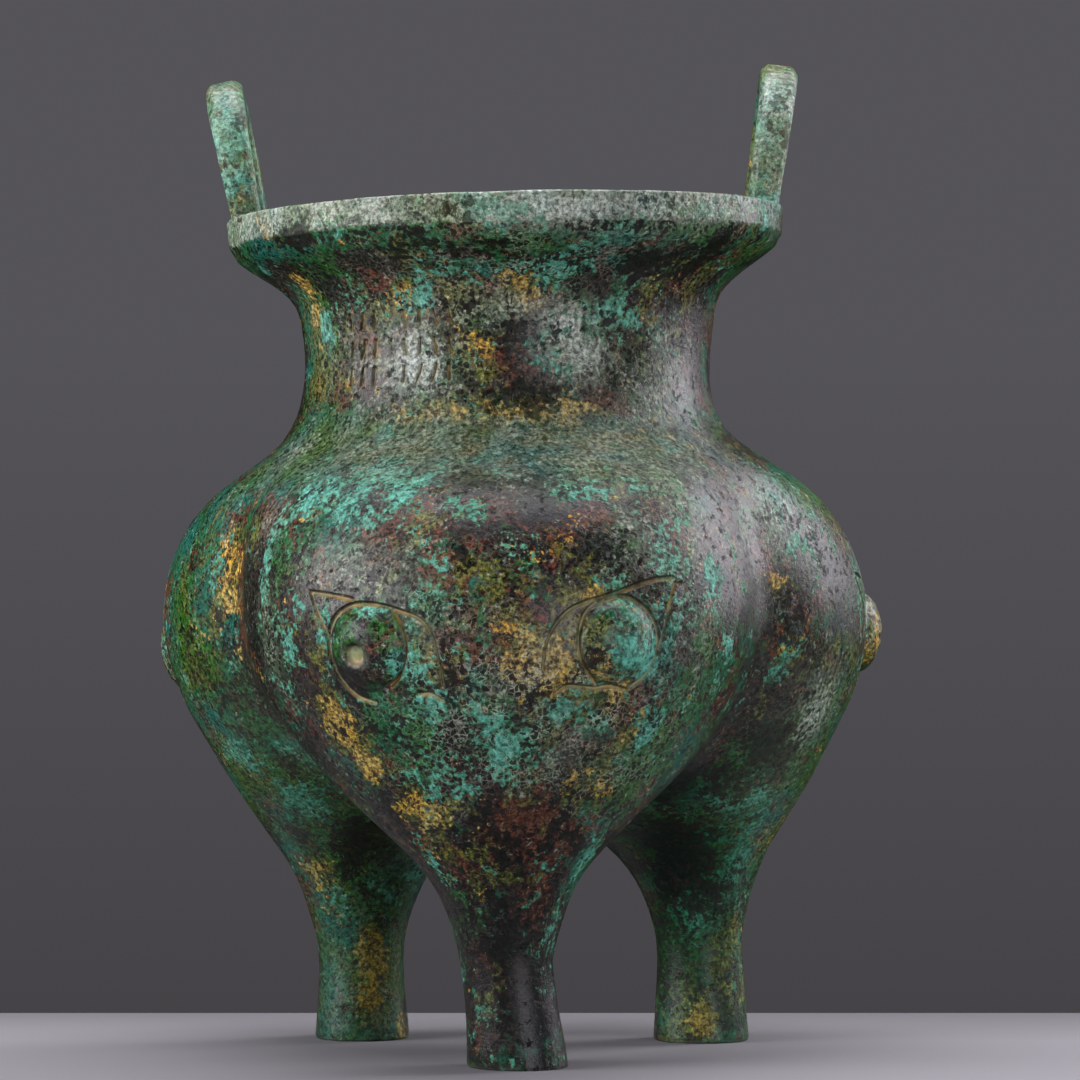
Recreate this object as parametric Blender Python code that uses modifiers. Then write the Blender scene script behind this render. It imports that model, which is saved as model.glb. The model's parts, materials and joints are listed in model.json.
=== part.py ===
"""A lobed bronze tripod vessel, cast in one piece: three pouch-shaped legs that run together
under a round neck, a flaring mouth with a flat band, two loop handles that stand on the lip,
and a mask's pair of eyes on each lobe. Metres, +Z up.

The soles stand on z = 0, and the origin is the middle of the vessel's footprint box. The front
lobe faces -Y. The casting leans a little towards -X, as the real one does, on soles cut level."""

import math

import bmesh
import bpy
from mathutils import Matrix, Vector

# Stretches of the profile, from the sole up
SHAFT_HEIGHT = 0.0206
POUCH_HEIGHT = 0.0699
SHOULDER_HEIGHT = 0.0402
WAIST_HEIGHT = 0.0183
THROAT_HEIGHT = 0.0164
BAND_HEIGHT = 0.0058

# Pouch legs
LOBES = 3
LOBE_RADIUS = 0.0524
LOBE_OFFSET = 0.0241
SHAFT_RADIUS = 0.00895
FOOT_SPREAD = 0.0412
SOLE_RADIUS = 0.0100
FRONT_FOOT_KICK = 0.0018

# Neck, mouth and wall
NECK_RADIUS = 0.0416
LIP_RADIUS = 0.0571
LIP_WIDTH = 0.0054
BAND_BATTER = 0.0003
WALL = 0.0034
SOLID_FOOT = 0.0315

# Loop handles
HANDLE_HEIGHT = 0.0294
HANDLE_SPAN = 0.0340
HANDLE_BAR = 0.0060
HANDLE_DEPTH = 0.0061
HANDLE_TOP_DEPTH = 0.0076
HANDLE_CHAMFER = 0.0013
HANDLE_SEAT = 0.0030
LEFT_SETBACK = 0.0018
RIGHT_SETBACK = 0.0015
HANDLE_TILT = math.radians(9.5)

# Mask eyes
EYE_DROP = 0.0074
EYE_ANGLE = math.radians(28.1)
BOSS_RADIUS = 0.0080
BOSS_RISE = 0.0030
BOSS_SINK = 0.0012
PUPIL_RADIUS = 0.0021
PUPIL_DEPTH = 0.0013
GROOVE_CIRCLE = 0.0088
GROOVE_RADIUS = 0.00055

# Stance
LEAN = math.radians(-1.7)
LOBE_TURN = math.radians(-4.0)
MASK_TURNS = (math.radians(1.5), math.radians(1.5), math.radians(-6.0))
SHOULDER_STRAY = -0.0013
MOUTH_STRAY = 0.0006
FOOT_STRAY = -0.0005
SOLE_ALLOWANCE = 0.0015
MOUTH_CLEARANCE = 0.0030

# Fineness of the faceting
OUTER_SIDES = 42
INNER_SIDES = 24
BOSS_SIDES = 14
CIRCLE_STEPS = 16
ARCH_STEPS = 10
SHARP_ANGLE = math.radians(40)

WIDEST = SHAFT_HEIGHT + POUCH_HEIGHT
NECK_FOOT = WIDEST + SHOULDER_HEIGHT
NECK_TOP = NECK_FOOT + WAIST_HEIGHT
BAND_FOOT = NECK_TOP + THROAT_HEIGHT
RIM = BAND_FOOT + BAND_HEIGHT
EYE_HEIGHT = WIDEST - EYE_DROP

# The pouch from shaft to widest height: share of the climb, of the way in from the
# foot's spread to the lobe's offset, and of the growth from shaft to lobe radius.
SWELL = (
    (0.00, 0.00, 0.00),
    (0.12, 0.02, 0.05),
    (0.24, 0.07, 0.14),
    (0.35, 0.20, 0.30),
    (0.46, 0.47, 0.50),
    (0.58, 0.68, 0.68),
    (0.72, 0.83, 0.85),
    (0.86, 0.93, 0.96),
    (1.00, 1.00, 1.00),
)
# The shoulder from the widest height to the neck's foot: share of the climb, of the
# lobe's offset that is left, and of the lobe's surplus over the neck's radius.
SHOULDER = (
    (0.00, 1.00, 1.00),
    (0.22, 0.91, 1.00),
    (0.42, 0.76, 0.94),
    (0.57, 0.53, 0.92),
    (0.65, 0.34, 0.90),
    (0.73, 0.17, 0.75),
    (0.81, 0.05, 0.52),
    (0.89, 0.00, 0.31),
    (1.00, 0.00, 0.11),
)
# The throat from the neck's top to the band: share of the climb and of the flare.
THROAT = (
    (0.00, 0.05),
    (0.20, 0.09),
    (0.38, 0.20),
    (0.56, 0.43),
    (0.77, 0.77),
    (0.89, 0.94),
    (1.00, 1.00),
)
# How far the casting's middle strays along X from its straight axis, by height.
STRAY = (
    (0.0, FOOT_STRAY),
    (WIDEST - 0.35 * POUCH_HEIGHT, 0.0),
    (WIDEST + 0.6 * SHOULDER_HEIGHT, SHOULDER_STRAY),
    (NECK_TOP, MOUTH_STRAY),
    (RIM, MOUTH_STRAY),
)
# The neck's narrowest height as a share of its climb, and the power of the mouth's curve.
NARROWEST, FLARE_POWER = 0.50, 1.5
# The rounded end of the cavity in a leg: share of its radius that it lies deeper, and
# share of its radius that is left there.
CAVITY_END = ((0.60, 0.35), (0.42, 0.72))

# The eye's lines in shares of its groove circle's radius, from the boss's centre: away
# from the mask's middle, then up.
UPPER_LID = (
    (1.45, 1.35),
    (0.50, 1.22),
    (-0.18, 1.07),
    (-0.68, 0.93),
    (-1.19, 0.70),
    (-1.53, 0.25),
    (-1.68, -0.28),
    (-1.66, -0.85),
)
OUTER_CORNER = ((1.47, 1.27), (1.24, 0.80), (1.12, 0.30))
LOWER_LID = ((-1.50, -1.05), (-1.14, -0.92), (-0.78, -0.91), (-0.27, -0.99))
# The front mask's eye towards +X has no pupil.
BLIND_EYE = (0, 1)


def smooth_through(points, x):
    """The smooth curve through points, whose first values rise, read at x."""
    last = len(points) - 1
    slopes = []
    for i in range(len(points)):
        low, high = points[max(i - 1, 0)], points[min(i + 1, last)]
        slopes.append([(b - a) / (high[0] - low[0]) for a, b in zip(low[1:], high[1:])])
    i = 0
    while i < last - 1 and x > points[i + 1][0]:
        i += 1
    start, end = points[i], points[i + 1]
    width = end[0] - start[0]
    t = (x - start[0]) / width
    values = []
    for k in range(1, len(start)):
        values.append(
            (2 * t**3 - 3 * t**2 + 1) * start[k]
            + (t**3 - 2 * t**2 + t) * width * slopes[i][k - 1]
            + (3 * t**2 - 2 * t**3) * end[k]
            + (t**3 - t**2) * width * slopes[i + 1][k - 1]
        )
    return values


def section(z):
    """How far the outer circle's centre stands off the axis at height z, and its radius."""
    flare = LIP_RADIUS - BAND_BATTER - NECK_RADIUS
    if z <= SHAFT_HEIGHT:
        spread = (1 - max(z, 0.0) / SHAFT_HEIGHT) ** 2
        return FOOT_SPREAD, SHAFT_RADIUS + (SOLE_RADIUS - SHAFT_RADIUS) * spread
    if z <= WIDEST:
        inwards, growth = smooth_through(SWELL, (z - SHAFT_HEIGHT) / POUCH_HEIGHT)
        offset = FOOT_SPREAD + (LOBE_OFFSET - FOOT_SPREAD) * inwards
        return offset, SHAFT_RADIUS + (LOBE_RADIUS - SHAFT_RADIUS) * growth
    if z <= NECK_FOOT:
        left, surplus = smooth_through(SHOULDER, (z - WIDEST) / SHOULDER_HEIGHT)
        return LOBE_OFFSET * max(left, 0.0), NECK_RADIUS + (LOBE_RADIUS - NECK_RADIUS) * surplus
    if z <= NECK_TOP:
        climb = (z - NECK_FOOT) / WAIST_HEIGHT
        if climb < NARROWEST:
            foot = SHOULDER[-1][2] * (LOBE_RADIUS - NECK_RADIUS)
            return 0.0, NECK_RADIUS + foot * (1 - climb / NARROWEST) ** 2
        top = THROAT[0][1] * flare
        return 0.0, NECK_RADIUS + top * ((climb - NARROWEST) / (1 - NARROWEST)) ** 2
    return 0.0, NECK_RADIUS + flare * smooth_through(THROAT, (z - NECK_TOP) / THROAT_HEIGHT)[0]


def stray(z):
    """The casting's shift along X at height z."""
    return smooth_through(STRAY, min(max(z, 0.0), RIM))[0]


def slope(z):
    """How fast the outer circle's radius grows with height."""
    step = SHOULDER_HEIGHT / 100
    return (section(z + step)[1] - section(z - step)[1]) / (2 * step)


def inner_section(z):
    """The cavity's circle at height z: a wall inside the outer one, and in the mouth a flare of
    its own, which goes on a little above the rim."""
    if z > NECK_TOP:
        neck = section(NECK_TOP)[1] - WALL
        climb = (z - NECK_TOP) / (RIM - NECK_TOP)
        return 0.0, neck + (LIP_RADIUS - LIP_WIDTH - neck) * climb**FLARE_POWER
    offset, radius = section(z)
    return offset, radius - WALL * math.hypot(1, slope(z))


def between(low, high, steps):
    """As many heights as steps, from low up to, and without, high."""
    return [low + (high - low) * i / steps for i in range(steps)]


def outer_rings():
    """(height, offset, radius) of the outer skin, from below the sole to the lip's top edge."""
    drop = (FOOT_SPREAD + SOLE_RADIUS) * math.tan(abs(LEAN)) + SOLE_ALLOWANCE
    heights = [-drop, 0.0, SHAFT_HEIGHT / 2]
    heights += between(SHAFT_HEIGHT, WIDEST, 10)
    heights += between(WIDEST, NECK_FOOT, 8)
    heights += between(NECK_FOOT, NECK_TOP, 2)
    heights += between(NECK_TOP, BAND_FOOT, 5)
    rings = [(z, *section(z)) for z in heights]
    return rings + [(BAND_FOOT, 0.0, LIP_RADIUS - BAND_BATTER), (RIM, 0.0, LIP_RADIUS)]


def inner_rings():
    """The same for the cavity, from its rounded floor to a little above the rim."""
    offset, radius = inner_section(SOLID_FOOT)
    floor = [(SOLID_FOOT - radius * deeper, offset, radius * left) for deeper, left in CAVITY_END]
    heights = between(SOLID_FOOT, WIDEST, 8)
    heights += between(WIDEST, NECK_FOOT, 6)
    heights += between(NECK_FOOT, NECK_TOP, 2)
    heights += between(NECK_TOP, RIM, 3) + [RIM, RIM + MOUTH_CLEARANCE]
    return floor + [(z, *inner_section(z)) for z in heights]


def full_circle(steps):
    """The angles of as many equal steps round a circle."""
    return [2 * math.pi * i / steps for i in range(steps)]


def add_loft(mesh, rings, sides):
    """A closed loft through level circles whose centres stand off the axis towards -Y."""
    loops = []
    for z, offset, radius in rings:
        loop = []
        for turn in full_circle(sides):
            loop.append(mesh.verts.new((radius * math.sin(turn), -offset - radius * math.cos(turn), z)))
        loops.append(loop)
    for low, high in zip(loops, loops[1:]):
        for i in range(sides):
            j = (i + 1) % sides
            mesh.faces.new((low[i], low[j], high[j], high[i]))
    mesh.faces.new(loops[0][::-1])
    mesh.faces.new(loops[-1])


def trim_to_wedge(mesh):
    """Cuts away what lies outside this lobe's share of the circle, by two upright planes
    through the axis."""
    half = math.pi / LOBES
    for side in (-1, 1):
        outwards = Vector((side * math.cos(half), math.sin(half), 0))
        geometry = mesh.verts[:] + mesh.edges[:] + mesh.faces[:]
        bmesh.ops.bisect_plane(
            mesh, geom=geometry, plane_co=(0, 0, 0), plane_no=outwards, dist=1e-6, clear_outer=True
        )


def skin(name, rings, sides, kick, collection):
    """A closed skin of as many wedges as lobes, welded where they meet. The front foot's end is kicked
    sideways by kick."""
    whole = bmesh.new()
    for lobe in range(LOBES):
        wedge = bmesh.new()
        add_loft(wedge, rings, sides)
        trim_to_wedge(wedge)
        for vertex in wedge.verts:
            if lobe == 0 and vertex.co.z < SHAFT_HEIGHT:
                vertex.co.x += kick * (1 - vertex.co.z / SHAFT_HEIGHT)
        turn = Matrix.Rotation(LOBE_TURN + 2 * math.pi * lobe / LOBES, 4, "Z")
        bmesh.ops.transform(wedge, matrix=turn, verts=wedge.verts)
        data = bpy.data.meshes.new("wedge")
        wedge.to_mesh(data)
        wedge.free()
        whole.from_mesh(data)
        bpy.data.meshes.remove(data)
    bmesh.ops.remove_doubles(whole, verts=whole.verts, dist=2e-6)
    for vertex in whole.verts:
        vertex.co.x += stray(vertex.co.z)
    return mesh_object(name, whole, collection)


def new_collection(name):
    collection = bpy.data.collections.new(name)
    bpy.context.scene.collection.children.link(collection)
    return collection


def new_object(name, data, collection):
    obj = bpy.data.objects.new(name, data)
    collection.objects.link(obj)
    return obj


def mesh_object(name, mesh, collection):
    data = bpy.data.meshes.new(name)
    mesh.to_mesh(data)
    mesh.free()
    return new_object(name, data, collection)


def as_mesh(obj, collection):
    """The object's evaluated shape as a welded mesh object in the same place. The old object goes."""
    bpy.context.view_layer.update()
    graph = bpy.context.evaluated_depsgraph_get()
    data = bpy.data.meshes.new_from_object(obj.evaluated_get(graph))
    mesh = bmesh.new()
    mesh.from_mesh(data)
    bmesh.ops.remove_doubles(mesh, verts=mesh.verts, dist=1e-6)
    mesh.to_mesh(data)
    mesh.free()
    name, place = obj.name, obj.matrix_world.copy()
    bpy.data.objects.remove(obj)
    made = new_object(name, data, collection)
    made.matrix_world = place
    return made


def arch(span, height):
    """An upright arch's points, from its left foot over the top to its right foot."""
    radius = span / 2
    points = [(-radius, 0.0)]
    for i in range(ARCH_STEPS + 1):
        angle = math.pi * i / ARCH_STEPS
        points.append((-radius * math.cos(angle), height - radius + radius * math.sin(angle)))
    return points + [(radius, 0.0)]


def make_handle(name, side, setback, collection):
    """A loop that stands on the lip and leans outwards. side is -1 at -X and 1 at +X."""
    height = HANDLE_HEIGHT + HANDLE_SEAT
    points = arch(HANDLE_SPAN, height) + arch(HANDLE_SPAN - 2 * HANDLE_BAR, height - HANDLE_BAR)[::-1]
    curve = bpy.data.curves.new(name, "CURVE")
    curve.dimensions = "2D"
    curve.fill_mode = "BOTH"
    curve.extrude = HANDLE_DEPTH / 2
    spline = curve.splines.new("POLY")
    spline.points.add(len(points) - 1)
    for point, (across, up) in zip(spline.points, points):
        point.co = (across, up, 0, 1)
    spline.use_cyclic_u = True
    handle = as_mesh(new_object(name, curve, collection), collection)
    for vertex in handle.data.vertices:
        climb = max(vertex.co.y - HANDLE_SEAT, 0) / HANDLE_HEIGHT
        vertex.co.z *= 1 + (HANDLE_TOP_DEPTH / HANDLE_DEPTH - 1) * climb
    bevel = handle.modifiers.new("chamfer", "BEVEL")
    bevel.width = HANDLE_CHAMFER
    bevel.segments = 1
    bevel.limit_method = "ANGLE"
    bevel.angle_limit = SHARP_ANGLE
    upright = Matrix(((0, 0, 1, 0), (1, 0, 0, 0), (0, 1, 0, 0), (0, 0, 0, 1)))
    sink = Matrix.Translation((0, 0, -HANDLE_SEAT))
    tilt = Matrix.Rotation(HANDLE_TILT, 4, "Y")
    seat = Matrix.Translation((LIP_RADIUS - setback - HANDLE_DEPTH / 2, 0, RIM))
    turn = Matrix.Rotation(0 if side > 0 else math.pi, 4, "Z")
    shift = Matrix.Translation((stray(RIM), 0, 0))
    handle.matrix_world = shift @ turn @ seat @ tilt @ sink @ upright
    return handle


def on_lobe(lobe, angle, z):
    """A point of the outer skin at an angle round one lobe, and the direction that the skin faces."""
    offset, radius = section(z)
    point = Vector((radius * math.sin(angle), -offset - radius * math.cos(angle), z))
    normal = Vector((math.sin(angle), -math.cos(angle), -slope(z))).normalized()
    turn = Matrix.Rotation(LOBE_TURN + 2 * math.pi * lobe / LOBES, 3, "Z")
    return turn @ point + Vector((stray(z), 0, 0)), turn @ normal


def on_eye(lobe, side, across, up):
    """The same at a place given from an eye's centre, in shares of its groove circle's radius."""
    turn = MASK_TURNS[lobe % len(MASK_TURNS)]
    angle = side * (EYE_ANGLE + across * GROOVE_CIRCLE / LOBE_RADIUS) + turn
    return on_lobe(lobe, angle, EYE_HEIGHT + up * GROOVE_CIRCLE)


def make_ball(name, radii, place, normal, sides, collection):
    """An ellipsoid whose third radius lies along normal."""
    mesh = bmesh.new()
    facing = normal.to_track_quat("Z", "Y").to_matrix().to_4x4()
    stretch = Matrix.Diagonal((*radii, 1))
    matrix = Matrix.Translation(place) @ facing @ stretch
    bmesh.ops.create_uvsphere(mesh, u_segments=sides, v_segments=sides // 2, radius=1, matrix=matrix)
    return mesh_object(name, mesh, collection)


def make_groove(name, places, closed, collection):
    """A thin rod laid along the skin, which cuts a line with sloping walls."""
    curve = bpy.data.curves.new(name, "CURVE")
    curve.dimensions = "3D"
    curve.bevel_depth = GROOVE_RADIUS
    curve.bevel_resolution = 0
    curve.use_fill_caps = True
    spline = curve.splines.new("POLY")
    spline.points.add(len(places) - 1)
    for point, (place, _) in zip(spline.points, places):
        point.co = (*place, 1)
    spline.use_cyclic_u = closed
    return as_mesh(new_object(name, curve, collection), collection)


def make_eye(lobe, side, bosses, carving):
    """One eye of a lobe's mask: a domed boss, its pupil and the lines round it."""
    tag = f"{lobe}_{'left' if side < 0 else 'right'}"
    place, normal = on_eye(lobe, side, 0, 0)
    radii = (BOSS_RADIUS, BOSS_RADIUS, BOSS_RISE + BOSS_SINK)
    make_ball(f"boss_{tag}", radii, place - normal * BOSS_SINK, normal, BOSS_SIDES, bosses)
    if (lobe, side) != BLIND_EYE:
        top = place + normal * (BOSS_RISE + PUPIL_RADIUS - PUPIL_DEPTH)
        make_ball(f"pupil_{tag}", (PUPIL_RADIUS,) * 3, top, normal, BOSS_SIDES // 2, carving)
    circle = [(math.cos(turn), math.sin(turn)) for turn in full_circle(CIRCLE_STEPS)]
    lines = {"circle": circle, "lid": UPPER_LID, "corner": OUTER_CORNER, "lower": LOWER_LID}
    for line, points in lines.items():
        places = [on_eye(lobe, side, across, up) for across, up in points]
        make_groove(f"{line}_{tag}", places, line == "circle", carving)


def make_ground(collection):
    """The block below the floor that cuts the soles level."""
    width, depth = 4 * LIP_RADIUS, LIP_RADIUS / 3
    mesh = bmesh.new()
    size = Matrix.Diagonal((width, width, depth, 1))
    bmesh.ops.create_cube(mesh, size=1, matrix=Matrix.Translation((0, 0, -depth / 2)) @ size)
    return mesh_object("ground", mesh, collection)


def bronze():
    """Old bronze under a thin green and brown skin."""
    material = bpy.data.materials.new("patinated bronze")
    material.use_nodes = True
    shader = material.node_tree.nodes["Principled BSDF"]
    shader.inputs["Base Color"].default_value = (0.055, 0.095, 0.075, 1)
    shader.inputs["Metallic"].default_value = 0.35
    shader.inputs["Roughness"].default_value = 0.5
    return material


def boolean(obj, operation, cutter):
    """Adds a Boolean by one object, or by all the objects of a collection."""
    modifier = obj.modifiers.new(cutter.name, "BOOLEAN")
    modifier.operation = operation
    modifier.solver = "EXACT"
    if isinstance(cutter, bpy.types.Collection):
        modifier.operand_type = "COLLECTION"
        modifier.collection = cutter
    else:
        modifier.object = cutter


def centre_footprint(stance, vessel):
    """Moves the stance so that the middle of the finished vessel's footprint box is the origin."""
    bpy.context.view_layer.update()
    done = vessel.evaluated_get(bpy.context.evaluated_depsgraph_get())
    corners = [done.matrix_world @ vertex.co for vertex in done.data.vertices]
    for axis in (0, 1):
        values = [corner[axis] for corner in corners]
        stance.location[axis] -= (min(values) + max(values)) / 2


def main():
    for obj in list(bpy.data.objects):
        bpy.data.objects.remove(obj)
    parts = new_collection("lobed tripod vessel")
    cutters = new_collection("cutters")
    bosses = new_collection("bosses")
    handles = new_collection("handles")
    carving = new_collection("carving")

    vessel = skin("vessel", outer_rings(), OUTER_SIDES, FRONT_FOOT_KICK, parts)
    vessel.data.materials.append(bronze())
    cavity = skin("cavity", inner_rings(), INNER_SIDES, 0, cutters)
    for lobe in range(LOBES):
        for side in (-1, 1):
            make_eye(lobe, side, bosses, carving)
    make_handle("handle_left", -1, LEFT_SETBACK, handles)
    make_handle("handle_right", 1, RIGHT_SETBACK, handles)
    ground = make_ground(cutters)

    stance = new_object("stance", None, parts)
    for collection in (bosses, handles, carving, cutters):
        for helper in collection.objects:
            helper.hide_render = True
            helper.display_type = "WIRE"
            if helper != ground:
                helper.parent = stance
    vessel.parent = stance
    stance.rotation_euler.y = LEAN

    boolean(vessel, "UNION", bosses)
    boolean(vessel, "DIFFERENCE", cavity)
    boolean(vessel, "UNION", handles)
    boolean(vessel, "DIFFERENCE", carving)
    boolean(vessel, "DIFFERENCE", ground)
    centre_footprint(stance, vessel)
    vessel.data.shade_smooth()
    vessel.data.set_sharp_from_angle(angle=SHARP_ANGLE)


main()
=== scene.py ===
# %% [markdown]
# # A lobed bronze tripod, dressed for its portrait
# The real vessel is one thin casting: three hollow pouch legs that run together under a round
# neck, a flaring mouth, two loop handles and a mask's eyes on each lobe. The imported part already
# has that form in broad facets. Here the same form is made again with a fine skin, because the
# carving and the worn edges need small faces, and it then gets its old green and brown surface.

import json
import math
import random

import bmesh
import bpy
import numpy as np
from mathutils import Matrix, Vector

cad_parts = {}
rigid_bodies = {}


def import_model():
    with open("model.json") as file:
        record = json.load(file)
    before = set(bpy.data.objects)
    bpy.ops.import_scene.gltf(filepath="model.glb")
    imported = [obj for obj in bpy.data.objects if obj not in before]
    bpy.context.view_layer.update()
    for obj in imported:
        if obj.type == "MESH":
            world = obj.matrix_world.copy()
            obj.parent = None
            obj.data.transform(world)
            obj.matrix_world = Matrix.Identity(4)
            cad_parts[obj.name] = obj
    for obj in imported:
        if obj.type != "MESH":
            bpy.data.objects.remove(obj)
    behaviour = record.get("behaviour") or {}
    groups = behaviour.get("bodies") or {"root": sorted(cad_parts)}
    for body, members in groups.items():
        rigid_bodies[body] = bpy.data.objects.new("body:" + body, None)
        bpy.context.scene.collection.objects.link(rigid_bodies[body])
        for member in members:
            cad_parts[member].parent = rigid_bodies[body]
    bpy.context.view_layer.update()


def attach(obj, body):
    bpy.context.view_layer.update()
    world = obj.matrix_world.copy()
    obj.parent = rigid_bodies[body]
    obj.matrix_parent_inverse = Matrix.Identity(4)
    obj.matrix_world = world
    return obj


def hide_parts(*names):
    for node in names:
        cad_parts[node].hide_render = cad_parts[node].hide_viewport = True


for start_object in list(bpy.data.objects):
    bpy.data.objects.remove(start_object)
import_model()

# %% [markdown]
# ## The sizes of the casting
# Each height, radius and width below is the part's own, in metres. The vessel is drawn upright
# round its own axis first. At the end it gets its lean and its place on the floor, as the part has.

# %% The casting's own sizes
SHAFT_HEIGHT, POUCH_HEIGHT, SHOULDER_HEIGHT = 0.0206, 0.0699, 0.0402
WAIST_HEIGHT, THROAT_HEIGHT, BAND_HEIGHT = 0.0183, 0.0164, 0.0058
LOBES, LOBE_RADIUS, LOBE_OFFSET = 3, 0.0524, 0.0241
SHAFT_RADIUS, FOOT_SPREAD, SOLE_RADIUS, FRONT_FOOT_KICK = 0.00895, 0.0412, 0.0100, 0.0018
NECK_RADIUS, LIP_RADIUS, LIP_WIDTH, BAND_BATTER = 0.0416, 0.0571, 0.0054, 0.0003
WALL, SOLID_FOOT, NARROWEST, FLARE_POWER = 0.0034, 0.0315, 0.50, 1.5
LEAN, LOBE_TURN = math.radians(-1.7), math.radians(-4.0)
WIDEST = SHAFT_HEIGHT + POUCH_HEIGHT
NECK_FOOT = WIDEST + SHOULDER_HEIGHT
NECK_TOP = NECK_FOOT + WAIST_HEIGHT
BAND_FOOT = NECK_TOP + THROAT_HEIGHT
RIM = BAND_FOOT + BAND_HEIGHT
# Rows of shares: the pouch's climb, way in and growth; the shoulder's climb, offset left and
# surplus radius; the throat's climb and flare. Last, the axis's stray along X by height.
SWELL = ((0, 0, 0), (0.12, 0.02, 0.05), (0.24, 0.07, 0.14), (0.35, 0.20, 0.30), (0.46, 0.47, 0.50),
         (0.58, 0.68, 0.68), (0.72, 0.83, 0.85), (0.86, 0.93, 0.96), (1, 1, 1))
SHOULDER = ((0, 1, 1), (0.22, 0.91, 1), (0.42, 0.76, 0.94), (0.57, 0.53, 0.92), (0.65, 0.34, 0.90),
            (0.73, 0.17, 0.75), (0.81, 0.05, 0.52), (0.89, 0, 0.31), (1, 0, 0.11))
THROAT = ((0, 0.05), (0.20, 0.09), (0.38, 0.20), (0.56, 0.43), (0.77, 0.77), (0.89, 0.94), (1, 1))
STRAY = ((0, -0.0005), (WIDEST - 0.35 * POUCH_HEIGHT, 0), (WIDEST + 0.6 * SHOULDER_HEIGHT, -0.0013),
         (NECK_TOP, 0.0006), (RIM, 0.0006))
print("rim height", round(RIM, 4), "widest at", round(WIDEST, 4))

# %% [markdown]
# ## The profile
# A founder's template gives the radius at every height. Here it is a smooth curve through the
# shares above, read with numpy for many heights at once, so that the same function serves the
# rings that are modelled and, later, each small vertex that the carving moves.

# %% Smooth curves through the shares
def smooth_through(points, x):
    """The smooth curve through rows whose first values rise, read at every x."""
    points = np.array(points, float)
    x = np.atleast_1d(np.asarray(x, float))
    at, rows = points[:, 0], points[:, 1:]
    span = np.arange(len(at))
    low, high = np.maximum(span - 1, 0), np.minimum(span + 1, len(at) - 1)
    slopes = (rows[high] - rows[low]) / (at[high] - at[low])[:, None]
    i = np.clip(np.searchsorted(at, x) - 1, 0, len(at) - 2)
    width = (at[i + 1] - at[i])[:, None]
    t = (x[:, None] - at[i][:, None]) / width
    return ((2 * t**3 - 3 * t**2 + 1) * rows[i] + (t**3 - 2 * t**2 + t) * width * slopes[i]
            + (3 * t**2 - 2 * t**3) * rows[i + 1] + (t**3 - t**2) * width * slopes[i + 1])


def drawn_section(z):
    """For each height, how far the outer circle's centre stands off the axis, and its radius."""
    z = np.atleast_1d(np.asarray(z, float))
    flare = LIP_RADIUS - BAND_BATTER - NECK_RADIUS
    extra = LOBE_RADIUS - NECK_RADIUS
    foot = SHAFT_RADIUS + (SOLE_RADIUS - SHAFT_RADIUS) * (1 - np.clip(z, 0, SHAFT_HEIGHT) / SHAFT_HEIGHT) ** 2
    swell = smooth_through(SWELL, np.clip((z - SHAFT_HEIGHT) / POUCH_HEIGHT, 0, 1))
    shoulder = smooth_through(SHOULDER, np.clip((z - WIDEST) / SHOULDER_HEIGHT, 0, 1))
    throat = smooth_through(THROAT, np.clip((z - NECK_TOP) / THROAT_HEIGHT, 0, 1))[:, 0]
    climb = np.clip((z - NECK_FOOT) / WAIST_HEIGHT, 0, 1)
    below = SHOULDER[-1][2] * extra * (1 - np.minimum(climb / NARROWEST, 1)) ** 2
    above = THROAT[0][1] * flare * (np.maximum(climb - NARROWEST, 0) / (1 - NARROWEST)) ** 2
    offset = np.select([z <= SHAFT_HEIGHT, z <= WIDEST, z <= NECK_FOOT],
                       [FOOT_SPREAD + 0 * z, FOOT_SPREAD + (LOBE_OFFSET - FOOT_SPREAD) * swell[:, 0],
                        LOBE_OFFSET * np.maximum(shoulder[:, 0], 0)], 0.0)
    radius = np.select([z <= SHAFT_HEIGHT, z <= WIDEST, z <= NECK_FOOT, z <= NECK_TOP],
                       [foot, SHAFT_RADIUS + (LOBE_RADIUS - SHAFT_RADIUS) * swell[:, 1],
                        NECK_RADIUS + extra * shoulder[:, 1], NECK_RADIUS + below + above],
                       NECK_RADIUS + flare * throat)
    return offset, radius


def section(z):
    """The same, with the joints between the stretches eased over a few millimetres."""
    z = np.atleast_1d(np.asarray(z, float))
    reach = 0.0014 * np.clip((BAND_FOOT - z) / 0.008, 0, 1)
    offset, radius = 0.0, 0.0
    for shift, share in zip((-2, -1, 0, 1, 2), (1, 2, 3, 2, 1)):
        drawn = drawn_section(z + shift * reach)
        offset, radius = offset + drawn[0] * share / 9, radius + drawn[1] * share / 9
    return offset, radius


def cavity_section(z):
    """The same for the hollow: one wall inside, and a flare of its own in the mouth."""
    step = SHOULDER_HEIGHT / 100
    offset, radius = section(z)
    slope = (section(z + step)[1] - section(z - step)[1]) / (2 * step)
    neck = section(NECK_TOP)[1] - WALL
    climb = np.clip((z - NECK_TOP) / (RIM - NECK_TOP), 0, None)
    mouth = neck + (LIP_RADIUS - LIP_WIDTH - neck) * climb**FLARE_POWER
    return offset, np.where(z > NECK_TOP, mouth, radius - WALL * np.hypot(1, slope))


print("neck", section(NECK_FOOT + WAIST_HEIGHT / 2)[1], "lip", section(BAND_FOOT)[1])

# %% [markdown]
# ## One pouch leg, ring by ring
# A lobe is a stack of level circles whose centre stands off the axis. By hand that is a circle,
# extruded upwards again and again, and each new ring is scaled about its own middle. It could be
# spun from a profile, but a spin can't let the centre wander, so the rings are extruded. What
# lies beyond the lobe's third of the vessel is then cut off by two upright planes.

# %% Helpers for modelling by operators
def only(obj):
    """Selects one object alone and makes it active."""
    bpy.ops.object.select_all(action="DESELECT")
    obj.select_set(True)
    bpy.context.view_layer.objects.active = obj


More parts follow.
